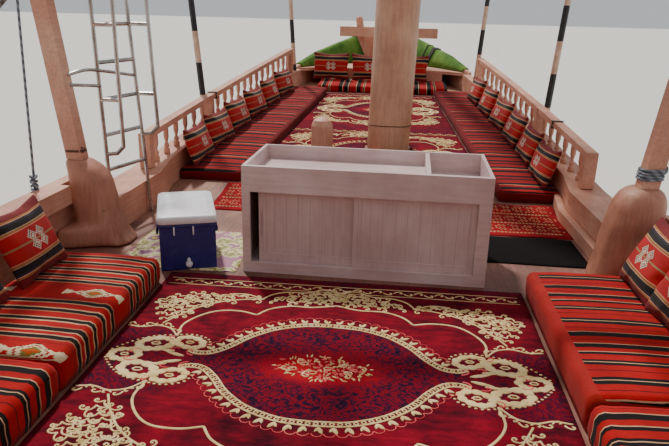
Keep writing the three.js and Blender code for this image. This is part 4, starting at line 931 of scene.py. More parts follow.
# Carpets, mats and rugs lie as slabs with a soft wave in them
def laid_cloth(name, outline_x, ys, thick, material, pitch=0.05, wave=0.002, holes=(), hem=0.006):
    """A cloth lying on the deck. outline_x gives its two edges at a station. Cells inside a hole are left out."""
    rows = [(y, *outline_x(y)) for y in ys]
    count = max(4, round((rows[0][2] - rows[0][1]) / pitch))
    points, cloth, top, low = [], [], {}, {}
    for j, (y, x0, x1) in enumerate(rows):
        for i in range(count + 1):
            x = x0 + (x1 - x0) * i / count
            edge = min(i, count - i) == 0 or j in (0, len(rows) - 1)
            drift = hem * wander(x, y, 2.3, 5.0) if edge else 0.0
            px = x + (drift if i in (0, count) else 0.0)
            py = y + (drift if j in (0, len(rows) - 1) else 0.0)
            rise = wave * (wander(px, py, 3.1, 1.0) + 0.6 * wander(px, py, 7.7, 2.0) + 0.6)
            top[i, j], low[i, j] = len(points), len(points) + 1
            points.append((px, py, deck_at(py) + thick * (0.55 if edge else 1.0) + max(-0.0005, rise)))
            points.append((px, py, deck_at(py) + 0.0004))
            cloth += [(py, px, 0.0)] * 2

    def kept(i, j):
        if not (0 <= i < count and 0 <= j < len(rows) - 1):
            return False
        x = (points[top[i, j]][0] + points[top[i + 1, j]][0]) / 2
        y = (rows[j][0] + rows[j + 1][0]) / 2
        return all(math.hypot(x - hx, y - hy) > hr for hx, hy, hr in holes)

    faces = []
    for j in range(len(rows) - 1):
        for i in range(count):
            if not kept(i, j):
                continue
            faces.append((top[i, j], top[i + 1, j], top[i + 1, j + 1], top[i, j + 1]))
            faces.append((low[i, j + 1], low[i + 1, j + 1], low[i + 1, j], low[i, j]))
            walls = [((i, j - 1), (i, j), (i + 1, j)), ((i, j + 1), (i + 1, j + 1), (i, j + 1)),
                     ((i - 1, j), (i, j + 1), (i, j)), ((i + 1, j), (i + 1, j), (i + 1, j + 1))]
            faces += [(low[a], low[b], top[b], top[a]) for cell, a, b in walls if not kept(*cell)]
    return make(name, points, faces, material, cloth=cloth)


# Carpet ornament: volutes, leaves and petals cut a little proud of the ground, mirrored about the medallion
PILE_RISE = 0.0026
SIXTHS = (0, 1.05, 2.1, 3.14, 4.2, 5.25)


def carpet_top(x, y):
    return deck_at(y) + CARPET + max(-0.0005, 0.002 * (wander(x, y, 3.1, 1.0) + 0.6 * wander(x, y, 7.7, 2.0) + 0.6))


def pile_line(path, width, closed=False):
    """A raised line of pile. width is a number or one for each point of the path."""
    count = len(path)
    widths = [width] * count if isinstance(width, float) else width
    rings = []
    for i, (x, y) in enumerate(path):
        ax, ay = path[(i + 1) % count] if closed or i + 1 < count else path[i]
        bx, by = path[i - 1] if closed or i else path[i]
        reach = math.hypot(ax - bx, ay - by) or 1.0
        nx, ny = -(ay - by) / reach * widths[i] / 2, (ax - bx) / reach * widths[i] / 2
        edges = [(x - nx, y - ny), (x - nx * 0.7, y - ny * 0.7), (x + nx * 0.7, y + ny * 0.7), (x + nx, y + ny)]
        lifts = [-0.0006, PILE_RISE, PILE_RISE, -0.0006]
        rings.append([(px, py, lift) for (px, py), lift in zip(edges, lifts)])
    return skin(rings, closed)


def flat_eased(path, count):
    return [(p.x, p.y) for p in eased([(x, y, 0) for x, y in path], count)]


def volute(x, y, heading, size, hand, turns=1.15, count=13):
    """A scroll that sets off along its heading and winds in to a bud."""
    path, widths = [(x, y)], [0.010]
    for k in range(count):
        t = k / count
        step = size * 2.6 / count * (1 - 0.74 * t)
        x, y = x + math.cos(heading) * step, y + math.sin(heading) * step
        heading += hand * 2 * math.pi * turns / count * (0.3 + 1.4 * t)
        path.append((x, y))
        widths.append(0.010 - 0.002 * t if k < count - 3 else 0.011)
    return pile_line(path, widths)


def leaf(x, y, heading, length, width):
    shares = [0.0, 0.2, 0.45, 0.7, 0.9, 1.0]
    path = [(x + math.cos(heading) * length * s, y + math.sin(heading) * length * s) for s in shares]
    return pile_line(path, [width * w for w in (0.25, 0.8, 1.0, 0.75, 0.35, 0.05)])


def petal(x, y, tilt, long, wide):
    """A scalloped ring of petal lobes round an open eye, with an oval in the eye."""
    ring, widths = [], []
    for k in range(36):
        turn = 2 * math.pi * k / 36
        px, py = math.cos(turn) * long * 0.74, math.sin(turn) * wide * 0.72
        ring.append((x + px * math.cos(tilt) - py * math.sin(tilt), y + px * math.sin(tilt) + py * math.cos(tilt)))
        widths.append(min(long, wide) * (0.44 + 0.30 * abs(math.sin(turn * 4.5))))
    eye = [(x + math.cos(a) * long * 0.20, y + math.sin(a) * wide * 0.18) for a in SIXTHS]
    return [pile_line(ring, widths, closed=True), pile_line(eye, 0.011, closed=True)]


def holds(outline, x, y):
    """Whether a flat outline holds a point."""
    inside = False
    for (ax, ay), (bx, by) in zip(outline, outline[1:] + outline[:1]):
        if (ay > y) != (by > y) and x < ax + (bx - ax) * (y - ay) / (by - ay):
            inside = not inside
    return inside


def filigree(outline, pitch, root):
    """Curls packed side by side inside an outline, two and two from one stem, growing away from its root."""
    rng = random.Random(21)
    parts, row, y = [], 0, min(p[1] for p in outline)
    while y < max(p[1] for p in outline):
        x = min(p[0] for p in outline) + (row % 2) * pitch / 2
        while x < max(p[0] for p in outline):
            if holds(outline, x, y):
                away = math.atan2(y - root[1], x - root[0]) + rng.uniform(-0.9, 0.9)
                px, py = x + rng.uniform(-0.2, 0.2) * pitch, y + rng.uniform(-0.2, 0.2) * pitch
                for hand, size in [(1, 1.25), (-1, 1.0)]:
                    parts.append(volute(px, py, away + 0.5 * hand, pitch * size, hand, turns=1.35))
            x += pitch
        y, row = y + pitch * 0.80, row + 1
    return parts


def beside(line, offset):
    """The same line moved sideways."""
    moved = []
    for i, (x, y) in enumerate(line):
        ax, ay = line[min(i + 1, len(line) - 1)]
        bx, by = line[max(i - 1, 0)]
        reach = math.hypot(ax - bx, ay - by) or 1.0
        moved.append((x - (ay - by) / reach * offset, y + (ax - bx) / reach * offset))
    return moved


def spaced(line, pitch):
    """(x, y, heading) at even distances along a line."""
    found, gone, due = [], 0.0, pitch / 2
    for (ax, ay), (bx, by) in zip(line, line[1:]):
        reach = math.hypot(bx - ax, by - ay)
        while reach and gone + reach >= due:
            t = (due - gone) / reach
            found.append((ax + (bx - ax) * t, ay + (by - ay) * t, math.atan2(by - ay, bx - ax)))
            due += pitch
        gone += reach
    return found


def dot(x, y, size):
    return pile_line([(x - size / 2, y), (x, y), (x + size / 2, y)], [size * 0.5, size, size * 0.5])


def scroll_band(line, size):
    """A running scroll: volutes turning up and down along a line."""
    parts = []
    for k, (x, y, heading) in enumerate(spaced(line, size * 1.25)):
        hand = 1 if k % 2 else -1
        parts.append(volute(x, y, heading - hand * 0.9, size, hand, turns=1.0, count=10))
    return parts


MEDALLION = [(0.0, 0.440), (0.15, 0.428), (0.30, 0.365), (0.42, 0.262), (0.50, 0.150), (0.575, 0.075), (0.645, 0.062),
             (0.69, 0.085)]


def quadrant_cream():
    """One quarter of the unit, from its middle towards one side (first number) and one end (second number)."""
    band = flat_eased(MEDALLION, 6)
    parts = [pile_line(beside(band, 0.015), 0.010), pile_line(beside(band, -0.015), 0.010)]
    for x, y, heading in spaced(band, 0.034):
        ring = [(x + 0.0105 * math.cos(a), y + 0.0095 * math.sin(a)) for a in SIXTHS]
        parts.append(pile_line(ring, 0.0075, closed=True))
    for x, y, heading in spaced(beside(band, 0.024)[:-8], 0.062):
        parts += [leaf(x, y, heading + 1.2, 0.046, 0.024), leaf(x, y, heading + 2.1, 0.034, 0.018)]
    parts += petal(0.712, 0.158, 0.35, 0.100, 0.068) + petal(0.880, 0.125, -0.30, 0.118, 0.078)
    parts += [leaf(*at) for at in [(0.70, 0.02, 0.3, 0.11, 0.030), (0.76, 0.06, 0.1, 0.10, 0.026),
                                   (0.665, 0.075, 1.3, 0.05, 0.02)]]
    rim = flat_eased([(0.60, 0.135), (0.63, 0.205), (0.72, 0.240), (0.82, 0.222), (0.92, 0.195), (1.01, 0.125),
                      (1.085, 0.03)], 5)
    parts += [dot(x, y, 0.014) for x, y, heading in spaced(rim, 0.028)]
    # The cusped frame: an arc to the side, a scrolled ribbon on to the edge, and arches towards the end
    side_arc = [(0.44, 0.516), (0.54, 0.545), (0.66, 0.535), (0.75, 0.465), (0.81, 0.35), (0.80, 0.215)]
    parts.append(pile_line(flat_eased(side_arc, 6), 0.014))
    ribbon = flat_eased([(0.80, 0.215), (0.86, 0.29), (0.94, 0.315), (1.02, 0.290), (1.10, 0.300)], 6)
    parts += [pile_line(ribbon, 0.012)] + scroll_band(beside(ribbon, 0.018), 0.040)
    for arch, width in [([(0.44, 0.516), (0.38, 0.60), (0.27, 0.655), (0.14, 0.655), (0.0, 0.695)], 0.014),
                        ([(0.45, 0.725), (0.40, 0.80), (0.31, 0.845), (0.20, 0.85), (0.10, 0.91), (0.0, 0.875)],
                         0.012),
                        ([(0.45, 0.725), (0.55, 0.775), (0.64, 0.770)], 0.012)]:
        parts.append(pile_line(flat_eased(arch, 6), width))
    # The middle spray and the corner spray: scrolls packed between their outlines
    middle = [(0.0, 0.705), (0.12, 0.675), (0.24, 0.672), (0.37, 0.690), (0.42, 0.715), (0.34, 0.755), (0.26, 0.805),
              (0.14, 0.845), (0.0, 0.885)]
    corner = [(0.925, 0.350), (0.985, 0.44), (1.04, 0.54), (1.035, 0.64), (0.96, 0.70), (0.86, 0.735), (0.72, 0.755),
              (0.56, 0.745), (0.47, 0.725), (0.60, 0.695), (0.70, 0.635), (0.79, 0.555), (0.86, 0.46)]
    parts += filigree(middle, 0.050, (0.0, 0.62)) + filigree(corner, 0.052, (0.93, 0.33))
    edging = [(0.925, 0.345), (0.87, 0.45), (0.79, 0.56), (0.69, 0.645), (0.56, 0.70), (0.44, 0.722)]
    parts.append(pile_line(flat_eased(edging, 6), 0.012))
    return parts


def quadrant_rose():
    """The same quarter's darker red lines: lobes outside the chain, a vine round the petals, scrolls in the field."""
    band = flat_eased(MEDALLION, 6)
    parts = []
    for x, y, heading in spaced(beside(band, 0.060)[:-4], 0.052):
        lobe = [(x + 0.026 * math.cos(heading + a), y + 0.026 * math.sin(heading + a))
                for a in (0.2, 0.9, 1.57, 2.2, 2.9)]
        parts.append(pile_line(lobe, 0.005))
    for x, y, size, hand in [(0.66, 0.03, 0.06, 1), (0.74, 0.09, 0.05, -1), (0.80, 0.17, 0.05, 1),
                             (0.93, 0.05, 0.06, -1)]:
        parts.append(volute(x, y, 0.3, size, hand))
    return parts


def bouquet():
    """Flowers and leaves in the middle of the medallion."""
    rng = random.Random(12)
    parts = []
    for x, y, size in [(0, 0.0, 0.040), (-0.085, 0.035, 0.03), (0.08, -0.03, 0.03), (0.10, 0.045, 0.026),
                       (-0.09, -0.05, 0.026), (-0.165, 0.0, 0.026), (0.17, 0.01, 0.026), (0.01, 0.078, 0.024),
                       (0.0, -0.082, 0.024)]:
        for k in range(6):
            turn, out = k * math.pi / 3 + rng.uniform(-0.2, 0.2), 0.35
            px, py = x + math.cos(turn) * size * out, y + math.sin(turn) * size * out
            parts.append(leaf(px, py, turn, size, size * 0.5))
    for k in range(26):
        turn, reach = k * 2.4, rng.uniform(0.11, 0.24)
        heading = turn + rng.uniform(-0.6, 0.6)
        parts.append(leaf(reach * math.cos(turn), 0.42 * reach * math.sin(turn), heading, 0.034, 0.014))
    return parts


def mirrored(parts, ways):
    """Copies of parts, mirrored across the given axes."""
    made = []
    for points, faces in parts:
        for a, b in ways:
            made.append(([(x * a, y * b, z) for x, y, z in points], faces if a * b > 0 else turned(faces)))
    return made


def bouquet_stems():
    """Cream stems, buds and leaves through the flowers in the middle of the medallion."""
    parts = []
    for stem in [(0.06, 0.02, 0.5, 0.07, 1), (0.10, -0.02, -0.4, 0.06, -1), (0.16, 0.03, 0.3, 0.05, -1)]:
        parts += mirrored([volute(*stem)], [(1, 1), (-1, -1)])
    rng = random.Random(33)
    for k in range(90):
        turn, reach = rng.uniform(0, 2 * math.pi), math.sqrt(rng.uniform(0.02, 1.0)) * 0.235
        x, y = reach * math.cos(turn), 0.46 * reach * math.sin(turn)
        parts.append(leaf(x, y, turn + rng.uniform(-1.1, 1.1), rng.uniform(0.018, 0.032), rng.uniform(0.007, 0.011)))
    for x, y in [(-0.10, 0.03), (0.09, 0.035), (-0.05, -0.045), (0.12, -0.03), (-0.15, -0.02), (0.02, 0.0)]:
        ring = [(x + math.cos(a) * 0.020, y + math.sin(a) * 0.014) for a in np.arange(0, 6.2, 0.7)]
        parts.append(pile_line(ring, [0.005 + 0.004 * (k % 2) for k in range(len(ring))], closed=True))
    return parts


QUARTERS = [(1, 1), (-1, 1), (1, -1), (-1, -1)]


def ornament(centre, scale):
    """The cream and rose parts of one unit, placed on the carpet."""
    far = flat_eased([(-1.08, 0.92), (0.0, 0.92), (1.08, 0.92)], 8)
    cream = mirrored(quadrant_cream(), QUARTERS) + bouquet_stems()
    cream += mirrored(petal(0.995, 0.0, 0.0, 0.095, 0.070), QUARTERS[:2])
    cream += scroll_band(far, 0.050) + [pile_line(beside(far, d), 0.005) for d in (-0.045, 0.045)]
    rose = mirrored(quadrant_rose(), QUARTERS) + bouquet()
    return [[([(centre[0] + x * scale[0], centre[1] + y * scale[1], z) for x, y, z in points], faces)
             for points, faces in parts] for parts in (cream, rose)]


def set_ornament(name, parts, material, inside=lambda x, y: True, rise=0.0):
    """Drops the flat parts on the carpet's own surface, leaving out what would pass its edge or a hole."""
    points, faces = together([part for part in parts if all(inside(x, y) for x, y, z in part[0])])
    lifted = [(x, y, carpet_top(x, y) + z + rise) for x, y, z in points]
    made = make(name, lifted, faces, material)
    return made


def field_shades(made, centres, scale):
    """Each point's share of purple and of scarlet: purple inside the medallion and the side panels, scarlet round
    the bouquet."""
    band = flat_eased(MEDALLION[:-1], 6)
    band_x, band_y = zip(*band)
    shades = []
    for vertex in made.data.vertices:
        x, y = abs(vertex.co.x / scale[0]), min((abs(vertex.co.y - c) / scale[1] for c in centres), default=9.0)
        edge = float(np.interp(x, band_x, band_y)) if x < 0.64 else 0.0
        purple = 1 / (1 + math.exp(-(edge - y) / 0.02))
        panel = 0.75 / (1 + math.exp(-(x - 0.74) / 0.05)) * (1 if y < 0.30 else 0)
        core = math.exp(-((x / 0.30) ** 2 + (y / 0.15) ** 2) ** 2)
        end = 0.55 / (1 + math.exp(-(y - 0.88) / 0.03))
        shades.append((max(purple, panel, end), core, 0.0))
    laid = made.data.attributes.new("field", "FLOAT_VECTOR", "POINT")
    laid.data.foreach_set("vector", np.array(shades, float).ravel())


def rug_figures(x0, x1, y0, y1):
    """Rows across a rug: stitched lines, and between them scrolls with a bud at each end."""
    parts = []
    for k, (row, _, _) in enumerate(spaced([(y0, 0), (y1, 0)], 0.082)):
        if k % 3 == 0:
            parts += [pile_line([(x, row + d), (x + 0.020, row + d)], 0.005) for d in (-0.008, 0.008)
                      for x in np.arange(x0, x1 - 0.02, 0.030)]
            parts += [dot(x, row, 0.004) for x in np.arange(x0, x1, 0.030)]
        else:
            for n, x in enumerate(np.arange(x0 + 0.04, x1 - 0.03, 0.105)):
                hand = 1 if (n + k) % 2 else -1
                parts += [pile_line([(x + 0.018 * math.cos(a) * way, row + 0.018 * math.sin(a)),
                                     (x + 0.034 * math.cos(a) * way, row + 0.034 * math.sin(a))], 0.004)
                          for a in (-0.9, 0.0, 0.9) for way in (1, -1)]
                parts.append(dot(x, row, 0.009))
                parts.append(leaf(x + 0.052, row + 0.014 * hand, 0.9 * hand, 0.022, 0.007))
    return parts


def dress_carpet(name, units, inside):
    """Sets the cream and rose figures of a carpet's units, each with its name, centre and scale."""
    pieces = []
    for unit, centre, scale in units:
        cream, rose = ornament(centre, scale)
        pieces.append(set_ornament(f"{name}_cream_{unit}", cream, cream_pile, inside))
        pieces.append(set_ornament(f"{name}_rose_{unit}", rose, rose_pile, inside))
    return pieces


def lay_carpets():
    ground = even(-4.15, 0.56, 0.04)
    main = laid_cloth("carpet_ground", lambda y: (-1.12, 1.12), ground, CARPET, crimson_pile, pitch=0.04)
    field_shades(main, [-0.50, -3.09], (1.0, 1.0))
    pieces = dress_carpet("carpet", [("fore", (0.0, -0.50), (1.0, 1.0)), ("aft", (0.0, -3.09), (1.0, 1.0))],
                          lambda x, y: abs(x) < 1.112 and -4.14 < y < 0.552)
    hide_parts("main_carpet")
    edges = lambda y: (0.014 - seat_inner("port", y), seat_inner("starboard", y) - 0.014)
    holes = [(MAST_X + 0.003, MAST_Y, 0.267), (-0.520, 3.800, 0.146)]
    fore = laid_cloth("fore_carpet_ground", edges, even(2.78, SEAT_FAR, 0.045), CARPET, crimson_pile, pitch=0.045,
                      holes=holes)
    field_shades(fore, [3.86, 6.00], (0.95, 1.0))

    def on_fore(x, y):
        low, high = edges(y)
        clear = all(math.hypot(x - hx, y - hy) > hr + 0.02 for hx, hy, hr in holes)
        return clear and low + 0.01 < x < high - 0.01 and 2.79 < y < 7.07

    units = [("near", (0.02, 3.86), (0.95, 1.0)), ("far", (0.02, 6.00), (0.80, 1.0))]
    pieces = dress_carpet("fore_carpet", units, on_fore)
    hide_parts("fore_carpet")
    for name, node, x0, x1, y0, y1, thick, cover, finish_slot in [
            ("vinyl_mat", "floral_mat", -1.545, -0.720, 0.62, 1.40, 0.004, vinyl_print, "mat"),
            ("rubber_mesh", "mesh_mat", 0.950, 1.690, 1.065, 1.64, 0.005, mesh_rubber, "mesh"),
            ("striped_rug_port", "rug_port", -1.300, -0.640, 1.96, 2.70, 0.007, rug_pile, "striped_weave"),
            ("striped_rug_starboard", "rug_starboard", 1.000, 1.720, 1.66, 2.48, 0.007, rug_pile, "striped_weave")]:
        mat = laid_cloth(name, lambda y: (x0, x1), even(y0, y1, 0.03), thick, cover, pitch=0.03, wave=0.0035,
                         hem=0.012)
        ornaments = []
        if cover is rug_pile:
            figures = rug_figures(x0 + 0.05, x1 - 0.05, y0 + 0.05, y1 - 0.05)
            ornaments = [set_ornament(f"{name}_figures", figures, cream_pile, rise=thick - CARPET)]
        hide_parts(node)


lay_carpets()


def bow_section(y):
    """Outer face, inner face and top of a bow bulwark, 3 mm clear of the timber."""
    half, top = read(BOW_HALF, y) + 0.003, read(BOW_TOP, y) + 0.003
    return half, half - BOW_THICK, top


def lay_turf():
    """A turf runner over each bow bulwark: a thin sheet hanging inside and out, its lower edges uneven."""
    for name, side in SIDES.items():
        rings, laid = [], []
        for y in even(7.80, 9.50, 0.05):
            half, inner, top = bow_section(y)
            hem = inner - BOW_FLARE * (top - BOW_FOOT)
            wave = 0.006 * wander(y, side, 4.0)
            drop = 0.120 + 0.012 * wander(y, side, 6.0, 3.0)
            under = [(half, top - drop), (half, top), (inner, top), ((inner + hem) / 2, (top + BOW_FOOT) / 2),
                     (hem + 0.004, 1.695)]
            lifts = [(0.012, 0), (0.010, 0.010), (-0.010, 0.012), (-0.012, 0.003 + wave), (-0.014, 0.004)]
            over = [(x + dx, z + dz) for (x, z), (dx, dz) in zip(under, lifts)]
            ring = under + list(reversed(over))
            rings.append([(side * x, y, z) for x, z in ring])
            laid += [(y, k * 0.05, 0.0) for k in range(len(ring))]
        points, faces = skin(rings)
        turf = make(f"turf_runner_{name}", points, faces if side > 0 else turned(faces), turf_grass, cloth=laid)
        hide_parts(f"turf_{name}")


lay_turf()


# The furled sail: folded canvas bound along the yard
SAIL_RADIUS = [(0, 0.050), (0.25, 0.120), (0.5, 0.150), (0.75, 0.125), (1, 0.050)]
YARD_RADIUS = [(0, 0.045), (0.25, 0.085), (0.5, 0.105), (0.75, 0.080), (1, 0.045)]
SAIL_TIES = 22


def furl_sail():
    along, across = (YARD_AFT - YARD_FORE).normalized(), Vector((1, 0, 0))
    up = along.cross(across).normalized()
    hung = Vector((-0.060, -0.090, -0.130))
    count, sides = 150, 26
    rings = []
    for i in range(count + 1):
        t = i / count
        radius = read(SAIL_RADIUS, t)
        # The ties sit at half steps, and draw the canvas in
        bound = abs((t * SAIL_TIES) % 1 - 0.5)
        radius *= 0.99 - 0.16 * max(0.0, 1 - bound / 0.16) ** 2
        centre = YARD_FORE.lerp(YARD_AFT, t) + hung
        crease = 2.5 * wander(t * 14, 1, 1.0, 2.0)
        ring = []
        for k in range(sides):
            turn = 2 * math.pi * k / sides
            fold = 1 - 0.10 * abs(math.sin(turn * 3.5 + crease)) + 0.06 * wander(t * 30, turn, 1.0, 4.0)
            ring.append(centre + (across * math.cos(turn) + up * math.sin(turn)) * radius * min(1.0, fold))
        rings.append(ring)
    sail = make("furled_canvas", *skin(rings), sailcloth, body="yard")
    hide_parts("furled_sail")
    ties = []
    for i in range(1, SAIL_TIES):
        t = (i + 0.5) / SAIL_TIES
        # None beside the mast
        if 0.34 < t < 0.48:
            continue
        radius, spar = read(SAIL_RADIUS, t), read(YARD_RADIUS, t)
        centre = YARD_FORE.lerp(YARD_AFT, t)
        low, loop, sides = centre + hung, [], 20
        for k in range(sides):
            turn = 2 * math.pi * k / sides
            way = across * math.cos(turn) + up * math.sin(turn)
            reach = max((low - centre).dot(way) + radius * 0.86, spar + 0.006)
            loop.append(centre + way * reach)
        for push in (-0.02, 0.0, 0.02):
            ties.append(strand([p + along * push for p in loop], 0.008, 6, closed=True))
    gaskets = make("sail_gaskets", *together(ties), hemp_rope, body="yard")


furl_sail()


# The cool box: moulded lid, ledge, latches, handles and tap
def cool(x, y, z):
    """A point on the cool box, from the middle of its foot: across, along and up."""
    ahead, aside = math.cos(COOL_BOX_TURN), math.sin(COOL_BOX_TURN)
    return (COOL_BOX_AT[0] + x * ahead - y * aside, COOL_BOX_AT[1] + x * aside + y * ahead, COOL_BOX_AT[2] + z)


def rounded(half_x, half_y, z, corner=0.035):
    """A level ring round the cool box with rounded corners."""
    ring = []
    for k, (sx, sy) in enumerate([(1, 1), (-1, 1), (-1, -1), (1, -1)]):
        for j in range(6):
            turn = math.pi / 2 * (k + j / 5)
            ring.append(cool(sx * (half_x - corner) + corner * math.cos(turn),
                             sy * (half_y - corner) + corner * math.sin(turn), z))
    return ring


def dress_cool_box():
    levels = [(0.188, 0.308, 0.3156), (0.191, 0.311, 0.319), (0.192, 0.312, 0.346), (0.188, 0.308, 0.361),
              (0.178, 0.298, 0.3675), (0.152, 0.270, 0.368), (0.146, 0.264, 0.3735), (0.132, 0.248, 0.3768),
              (0.090, 0.180, 0.3778)]
    lid = make("cool_box_moulded_lid", *skin([rounded(*level) for level in levels]), white_plastic,
               body="cool_box_lid")
    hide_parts("cool_box_lid")
    rim = [(0.1805, 0.3005, 0.288, 0.016), (0.185, 0.305, 0.294, 0.02), (0.185, 0.305, 0.308, 0.02),
           (0.1805, 0.3005, 0.3125, 0.016)]
    points, faces = skin([rounded(*level) for level in rim])
    # The last two faces would fill its ends
    parts = [(points, faces[:-2])]
    for side in (1, -1):
        grip = [(side * 0.184, -0.16, 0.285), (side * 0.196, -0.15, 0.230), (side * 0.199, -0.08, 0.190),
                (side * 0.199, 0.08, 0.190), (side * 0.196, 0.15, 0.230), (side * 0.184, 0.16, 0.285)]
        parts.append(strand([cool(*p) for p in eased(grip, 5)], 0.009, 8))
    ledge = make("cool_box_ledge_and_handles", *together(parts), blue_plastic)
    tabs = [strand([cool(x, -0.3075, z) for z in (0.300, 0.296, 0.270, 0.244, 0.240)],
                   [0.003, 0.006, 0.006, 0.006, 0.003], 10, flat=0.8) for x in (-0.086, 0.036)]
    tap = [(-0.302, 0.020), (-0.310, 0.024), (-0.318, 0.020), (-0.330, 0.019), (-0.334, 0.012)]
    tabs.append(strand([cool(0, y, 0.040) for y, r in tap], [r for y, r in tap], 16))
    lever = [(0.040, 0.006), (0.062, 0.012), (0.080, 0.010), (0.088, 0.004)]
    tabs.append(strand([cool(0.0, -0.322, z) for z, r in lever], [r for z, r in lever], 10))
    fittings = make("cool_box_latches_and_tap", *together(tabs), white_plastic)


dress_cool_box()


# The last of the rigging
def ring_round(centre, half, z, rise):
    """One rising turn of rope round a squared timber, cutting its corners."""
    loop, count = [], 28
    for k in range(count):
        turn = 2 * math.pi * k / count
        c, s = math.cos(turn), math.sin(turn)
        reach = min(half / max(abs(c), abs(s)), half * 1.22)
        loop.append((centre[0] + reach * c, centre[1] + reach * s, z + rise * k / count))
    return loop


def lash(name, foot, head, height, turns, thick, material):
    """Rope wound tight round an awning post that stands from foot to head, with a knot at its last turn."""
    path, pitch = [], thick * 2.05
    for n in range(turns):
        z = height + n * pitch
        t = (z - foot[2]) / (head[2] - foot[2])
        centre = (foot[0] + (head[0] - foot[0]) * t, foot[1] + (head[1] - foot[1]) * t)
        path += ring_round(centre, AWNING_POST_HALF + thick, z, pitch)
    last = Vector(path[-1])
    knot = [last + Vector((math.cos(k * 0.9) * 0.016, -math.sin(k * 1.3) * 0.014, math.sin(k * 0.9) * 0.018))
            for k in range(9)]
    parts = [strand(path, thick, 7), strand(eased(knot, 4), thick, 7)]
    made = make(name, *together(parts), material)


def rig_lines():
    # Stays from the boarding ladder to the awning post
    high = [(-1.992, 1.105, 2.139), (-1.92, 1.250, 2.163), (-1.880, 1.480, 2.135), (-1.806, 1.825, 2.078)]
    low = [(-1.984, 1.110, 2.071), (-1.944, 1.260, 2.054), (-1.899, 1.400, 2.036)]
    stays = [strand(eased(high, 6), 0.013, 10), strand(eased(low, 5), 0.013, 10)]
    tubes = make("ladder_stay_tubes", *together(stays), stainless)
    lash("port_post_lashing", (-1.965, 1.090, 1.560), (-2.200, 1.100, 3.370), 1.610, 2, 0.004, tan_cord)
    lash("starboard_post_lashing", (1.880, 0.880, 1.595), (2.200, 1.100, 3.370), 1.640, 4, 0.009, grey_rope)
    # A taut line from the port cap up to the side beam, knotted round both
    thick, foot_x, foot_y, foot_z = 0.009, -2.130, 0.780, 1.400
    loops = [strand([(foot_x, foot_y, foot_z), (-2.190, 0.933, 2.300), (-2.250, 1.090, 3.240)], thick, 8)]
    for n in range(4):
        z = foot_z + 0.03 * n
        turn = [(foot_x + 0.020 * math.cos(a + n), foot_y + 0.020 * math.sin(a + n), z + 0.006 * math.sin(2 * a))
                for a in np.arange(0, 2 * math.pi, 0.5)]
        loops.append(strand(turn, thick, 7, closed=True))
    for n in range(3):
        y = 1.072 + 0.018 * n
        turn = [(-2.302, y, 3.238), (-2.302, y, 3.382), (-2.238, y, 3.382), (-2.238, y, 3.238)]
        loops.append(strand(turn, thick, 7, closed=True))
    line = make("port_taut_line", *together(loops), grey_rope)
    # A turn of thin cord low round the mast
    z, reach = 1.400, 0.243
    turn = [(mast_x(z) + reach * math.cos(a), MAST_Y + reach * math.sin(a), z + 0.004 * math.sin(3 * a))
            for a in np.arange(0, 2 * math.pi, 0.16)]
    cord = make("mast_cord", *strand(turn, 0.005, 6, closed=True), tan_cord)
    # Ties that hold the rails to the poles
    ties = []
    for side, y in [(-1, 4.06), (1, 3.30)]:
        x, z = side * (rail_at(y) - 0.005), rail_top(y)
        for along in (y + 0.016 * (n - 1) for n in range(3)):
            turn = [(x - 0.051, along, z + 0.006), (x + 0.051, along, z + 0.006), (x + 0.051, along, z - 0.062),
                    (x - 0.051, along, z - 0.062)]
            ties.append(strand(turn, 0.006, 7, closed=True))
    rail_ties = make("rail_ties", *together(ties), dark_rope)


rig_lines()


# The last of the joinery
def fit_trim():
    # The waterway plank inside the starboard sill: (in from the sill, up from the deck)
    section = [(0, 0), (0, 0.094), (0.018, 0.100), (0.052, 0.100), (0.060, 0.092), (0.060, 0)]
    rings = []
    for y in even(1.07, 2.54, 0.07):
        edge, floor = sill_inner(y) - 0.006, deck_at(y) + 0.0015
        rings.append([(edge - inward, y, floor + up) for inward, up in section])
    plank = make("starboard_waterway", *skin(rings), timber_along, smooth=False)
    # Chocks that close the planking between the bulwark's end, the timber head and the sill
    blocks = [box((2.049, 0.915, 0.952), (2.104, 1.058, 1.214)), box((-2.102, 1.165, 0.952), (-2.049, 1.268, 1.214))]
    chocks = make("butt_chocks", *together(blocks), timber_along, smooth=False)
    arris(chocks, 0.006)


fit_trim()


def on_wall(face, depth, flat):
    """Puts (across, up) points on a wall of the house, whose depth runs along x on its sides and else along y."""
    return [(depth, u, v) if face == "side" else (u, depth, v) for u, v in flat]


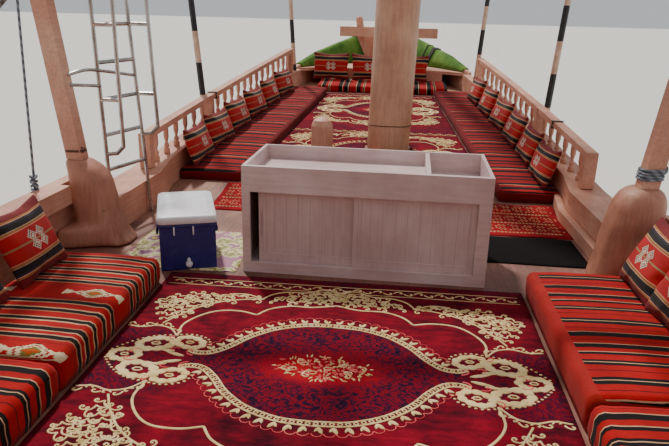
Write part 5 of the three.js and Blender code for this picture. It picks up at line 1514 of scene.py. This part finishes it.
def glaze_house():
    """Casings and panes in the windows of the house."""
    casings, panes = [], []
    wide, slack = 0.050, 0.001
    for face, low, high in [("front", -0.100, 0.480), ("front", 0.600, 1.150), ("back", -0.700, 0.700),
                            ("side", -5.650, -4.950), ("side", -6.600, -5.900)]:
        for hand in ((1, -1) if face == "side" else (1,)):
            edge = {"front": HOUSE_FRONT, "back": HOUSE_BACK, "side": HOUSE_HALF * hand}[face]
            out = 1 if face == "front" or (face == "side" and hand > 0) else -1
            # Corners of the opening, moved outwards for the casing and inwards for the pane
            foot, head = WINDOW_FOOT, WINDOW_HEAD
            inner, outer, glass = [[(low - d, foot - d), (high + d, foot - d), (high + d, head + d),
                                    (low - d, head + d)] for d in (0.0, wide, -slack)]
            for k, after in enumerate([1, 2, 3, 0]):
                board = [outer[k], outer[after], inner[after], inner[k]]
                casings.append(skin([on_wall(face, edge + out * depth, board) for depth in (0.0005, 0.016)]))
            deep = edge - out * 0.030
            panes.append(skin([on_wall(face, depth, glass) for depth in (deep - 0.002, deep + 0.002)]))
    trim = make("house_window_casings", *together(casings), timber_across, smooth=False)
    make("house_window_panes", *together(panes), float_glass, smooth=False)


glaze_house()


def strap_turf():
    """A broad and a narrow strap over the starboard turf."""
    straps = []
    for y, wide, out in [(8.82, 0.090, 0.020), (9.02, 0.016, 0.018)]:
        rings = []
        for at in (y - wide / 2, y + wide / 2):
            half, inner, top = bow_section(at)
            flare = BOW_FLARE * (top - BOW_FOOT)
            under = [(half + out, top - 0.150), (half + out, top + 0.014), (inner - 0.012, top + 0.018),
                     (inner - flare * 0.5 - 0.019, (top + BOW_FOOT) / 2 + 0.004), (inner - flare - 0.018, 1.700)]
            over = [(x + (0.004 if k < 2 else -0.003), z + 0.005) for k, (x, z) in enumerate(under)]
            rings.append([(x, at, z) for x, z in under + list(reversed(over))])
        straps.append(skin(rings))
    strap = make("turf_straps", *together(straps), black_cover)


strap_turf()


# Rubbing strakes: half-round timbers along the topsides, set where a level line meets the hull
def fit_strakes():
    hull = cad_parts["hull"]
    to_hull = hull.matrix_world.inverted()
    parts, sunk, tall = [], 0.006, 1.1
    for side in SIDES.values():
        for height, deep in [(0.800, 0.034), (0.500, 0.024)]:
            rings = []
            for y in even(-9.30, 9.15, 0.15):
                z = height + 0.0055 * max(0.0, y) ** 2
                met, spot, out, _ = hull.ray_cast(to_hull @ Vector((side * 5.0, y, z)), Vector((-side, 0.0, 0.0)))
                if not met:
                    continue
                spot = hull.matrix_world @ spot
                along = Vector((0.0, 1.0, 0.0)) - out * out.y
                up = along.cross(out).normalized() * side
                ring = [spot + out * (deep * math.cos(a)) + up * (tall * deep * math.sin(a))
                        for a in even(-1.57, 1.57, 0.4)]
                rings.append([spot - out * sunk - up * deep * tall] + ring + [spot - out * sunk + up * deep * tall])
            points, faces = skin(rings)
            parts.append((points, faces if side > 0 else turned(faces)))
    strakes = make("rubbing_strakes", *together(parts), head_paint)


fit_strakes()
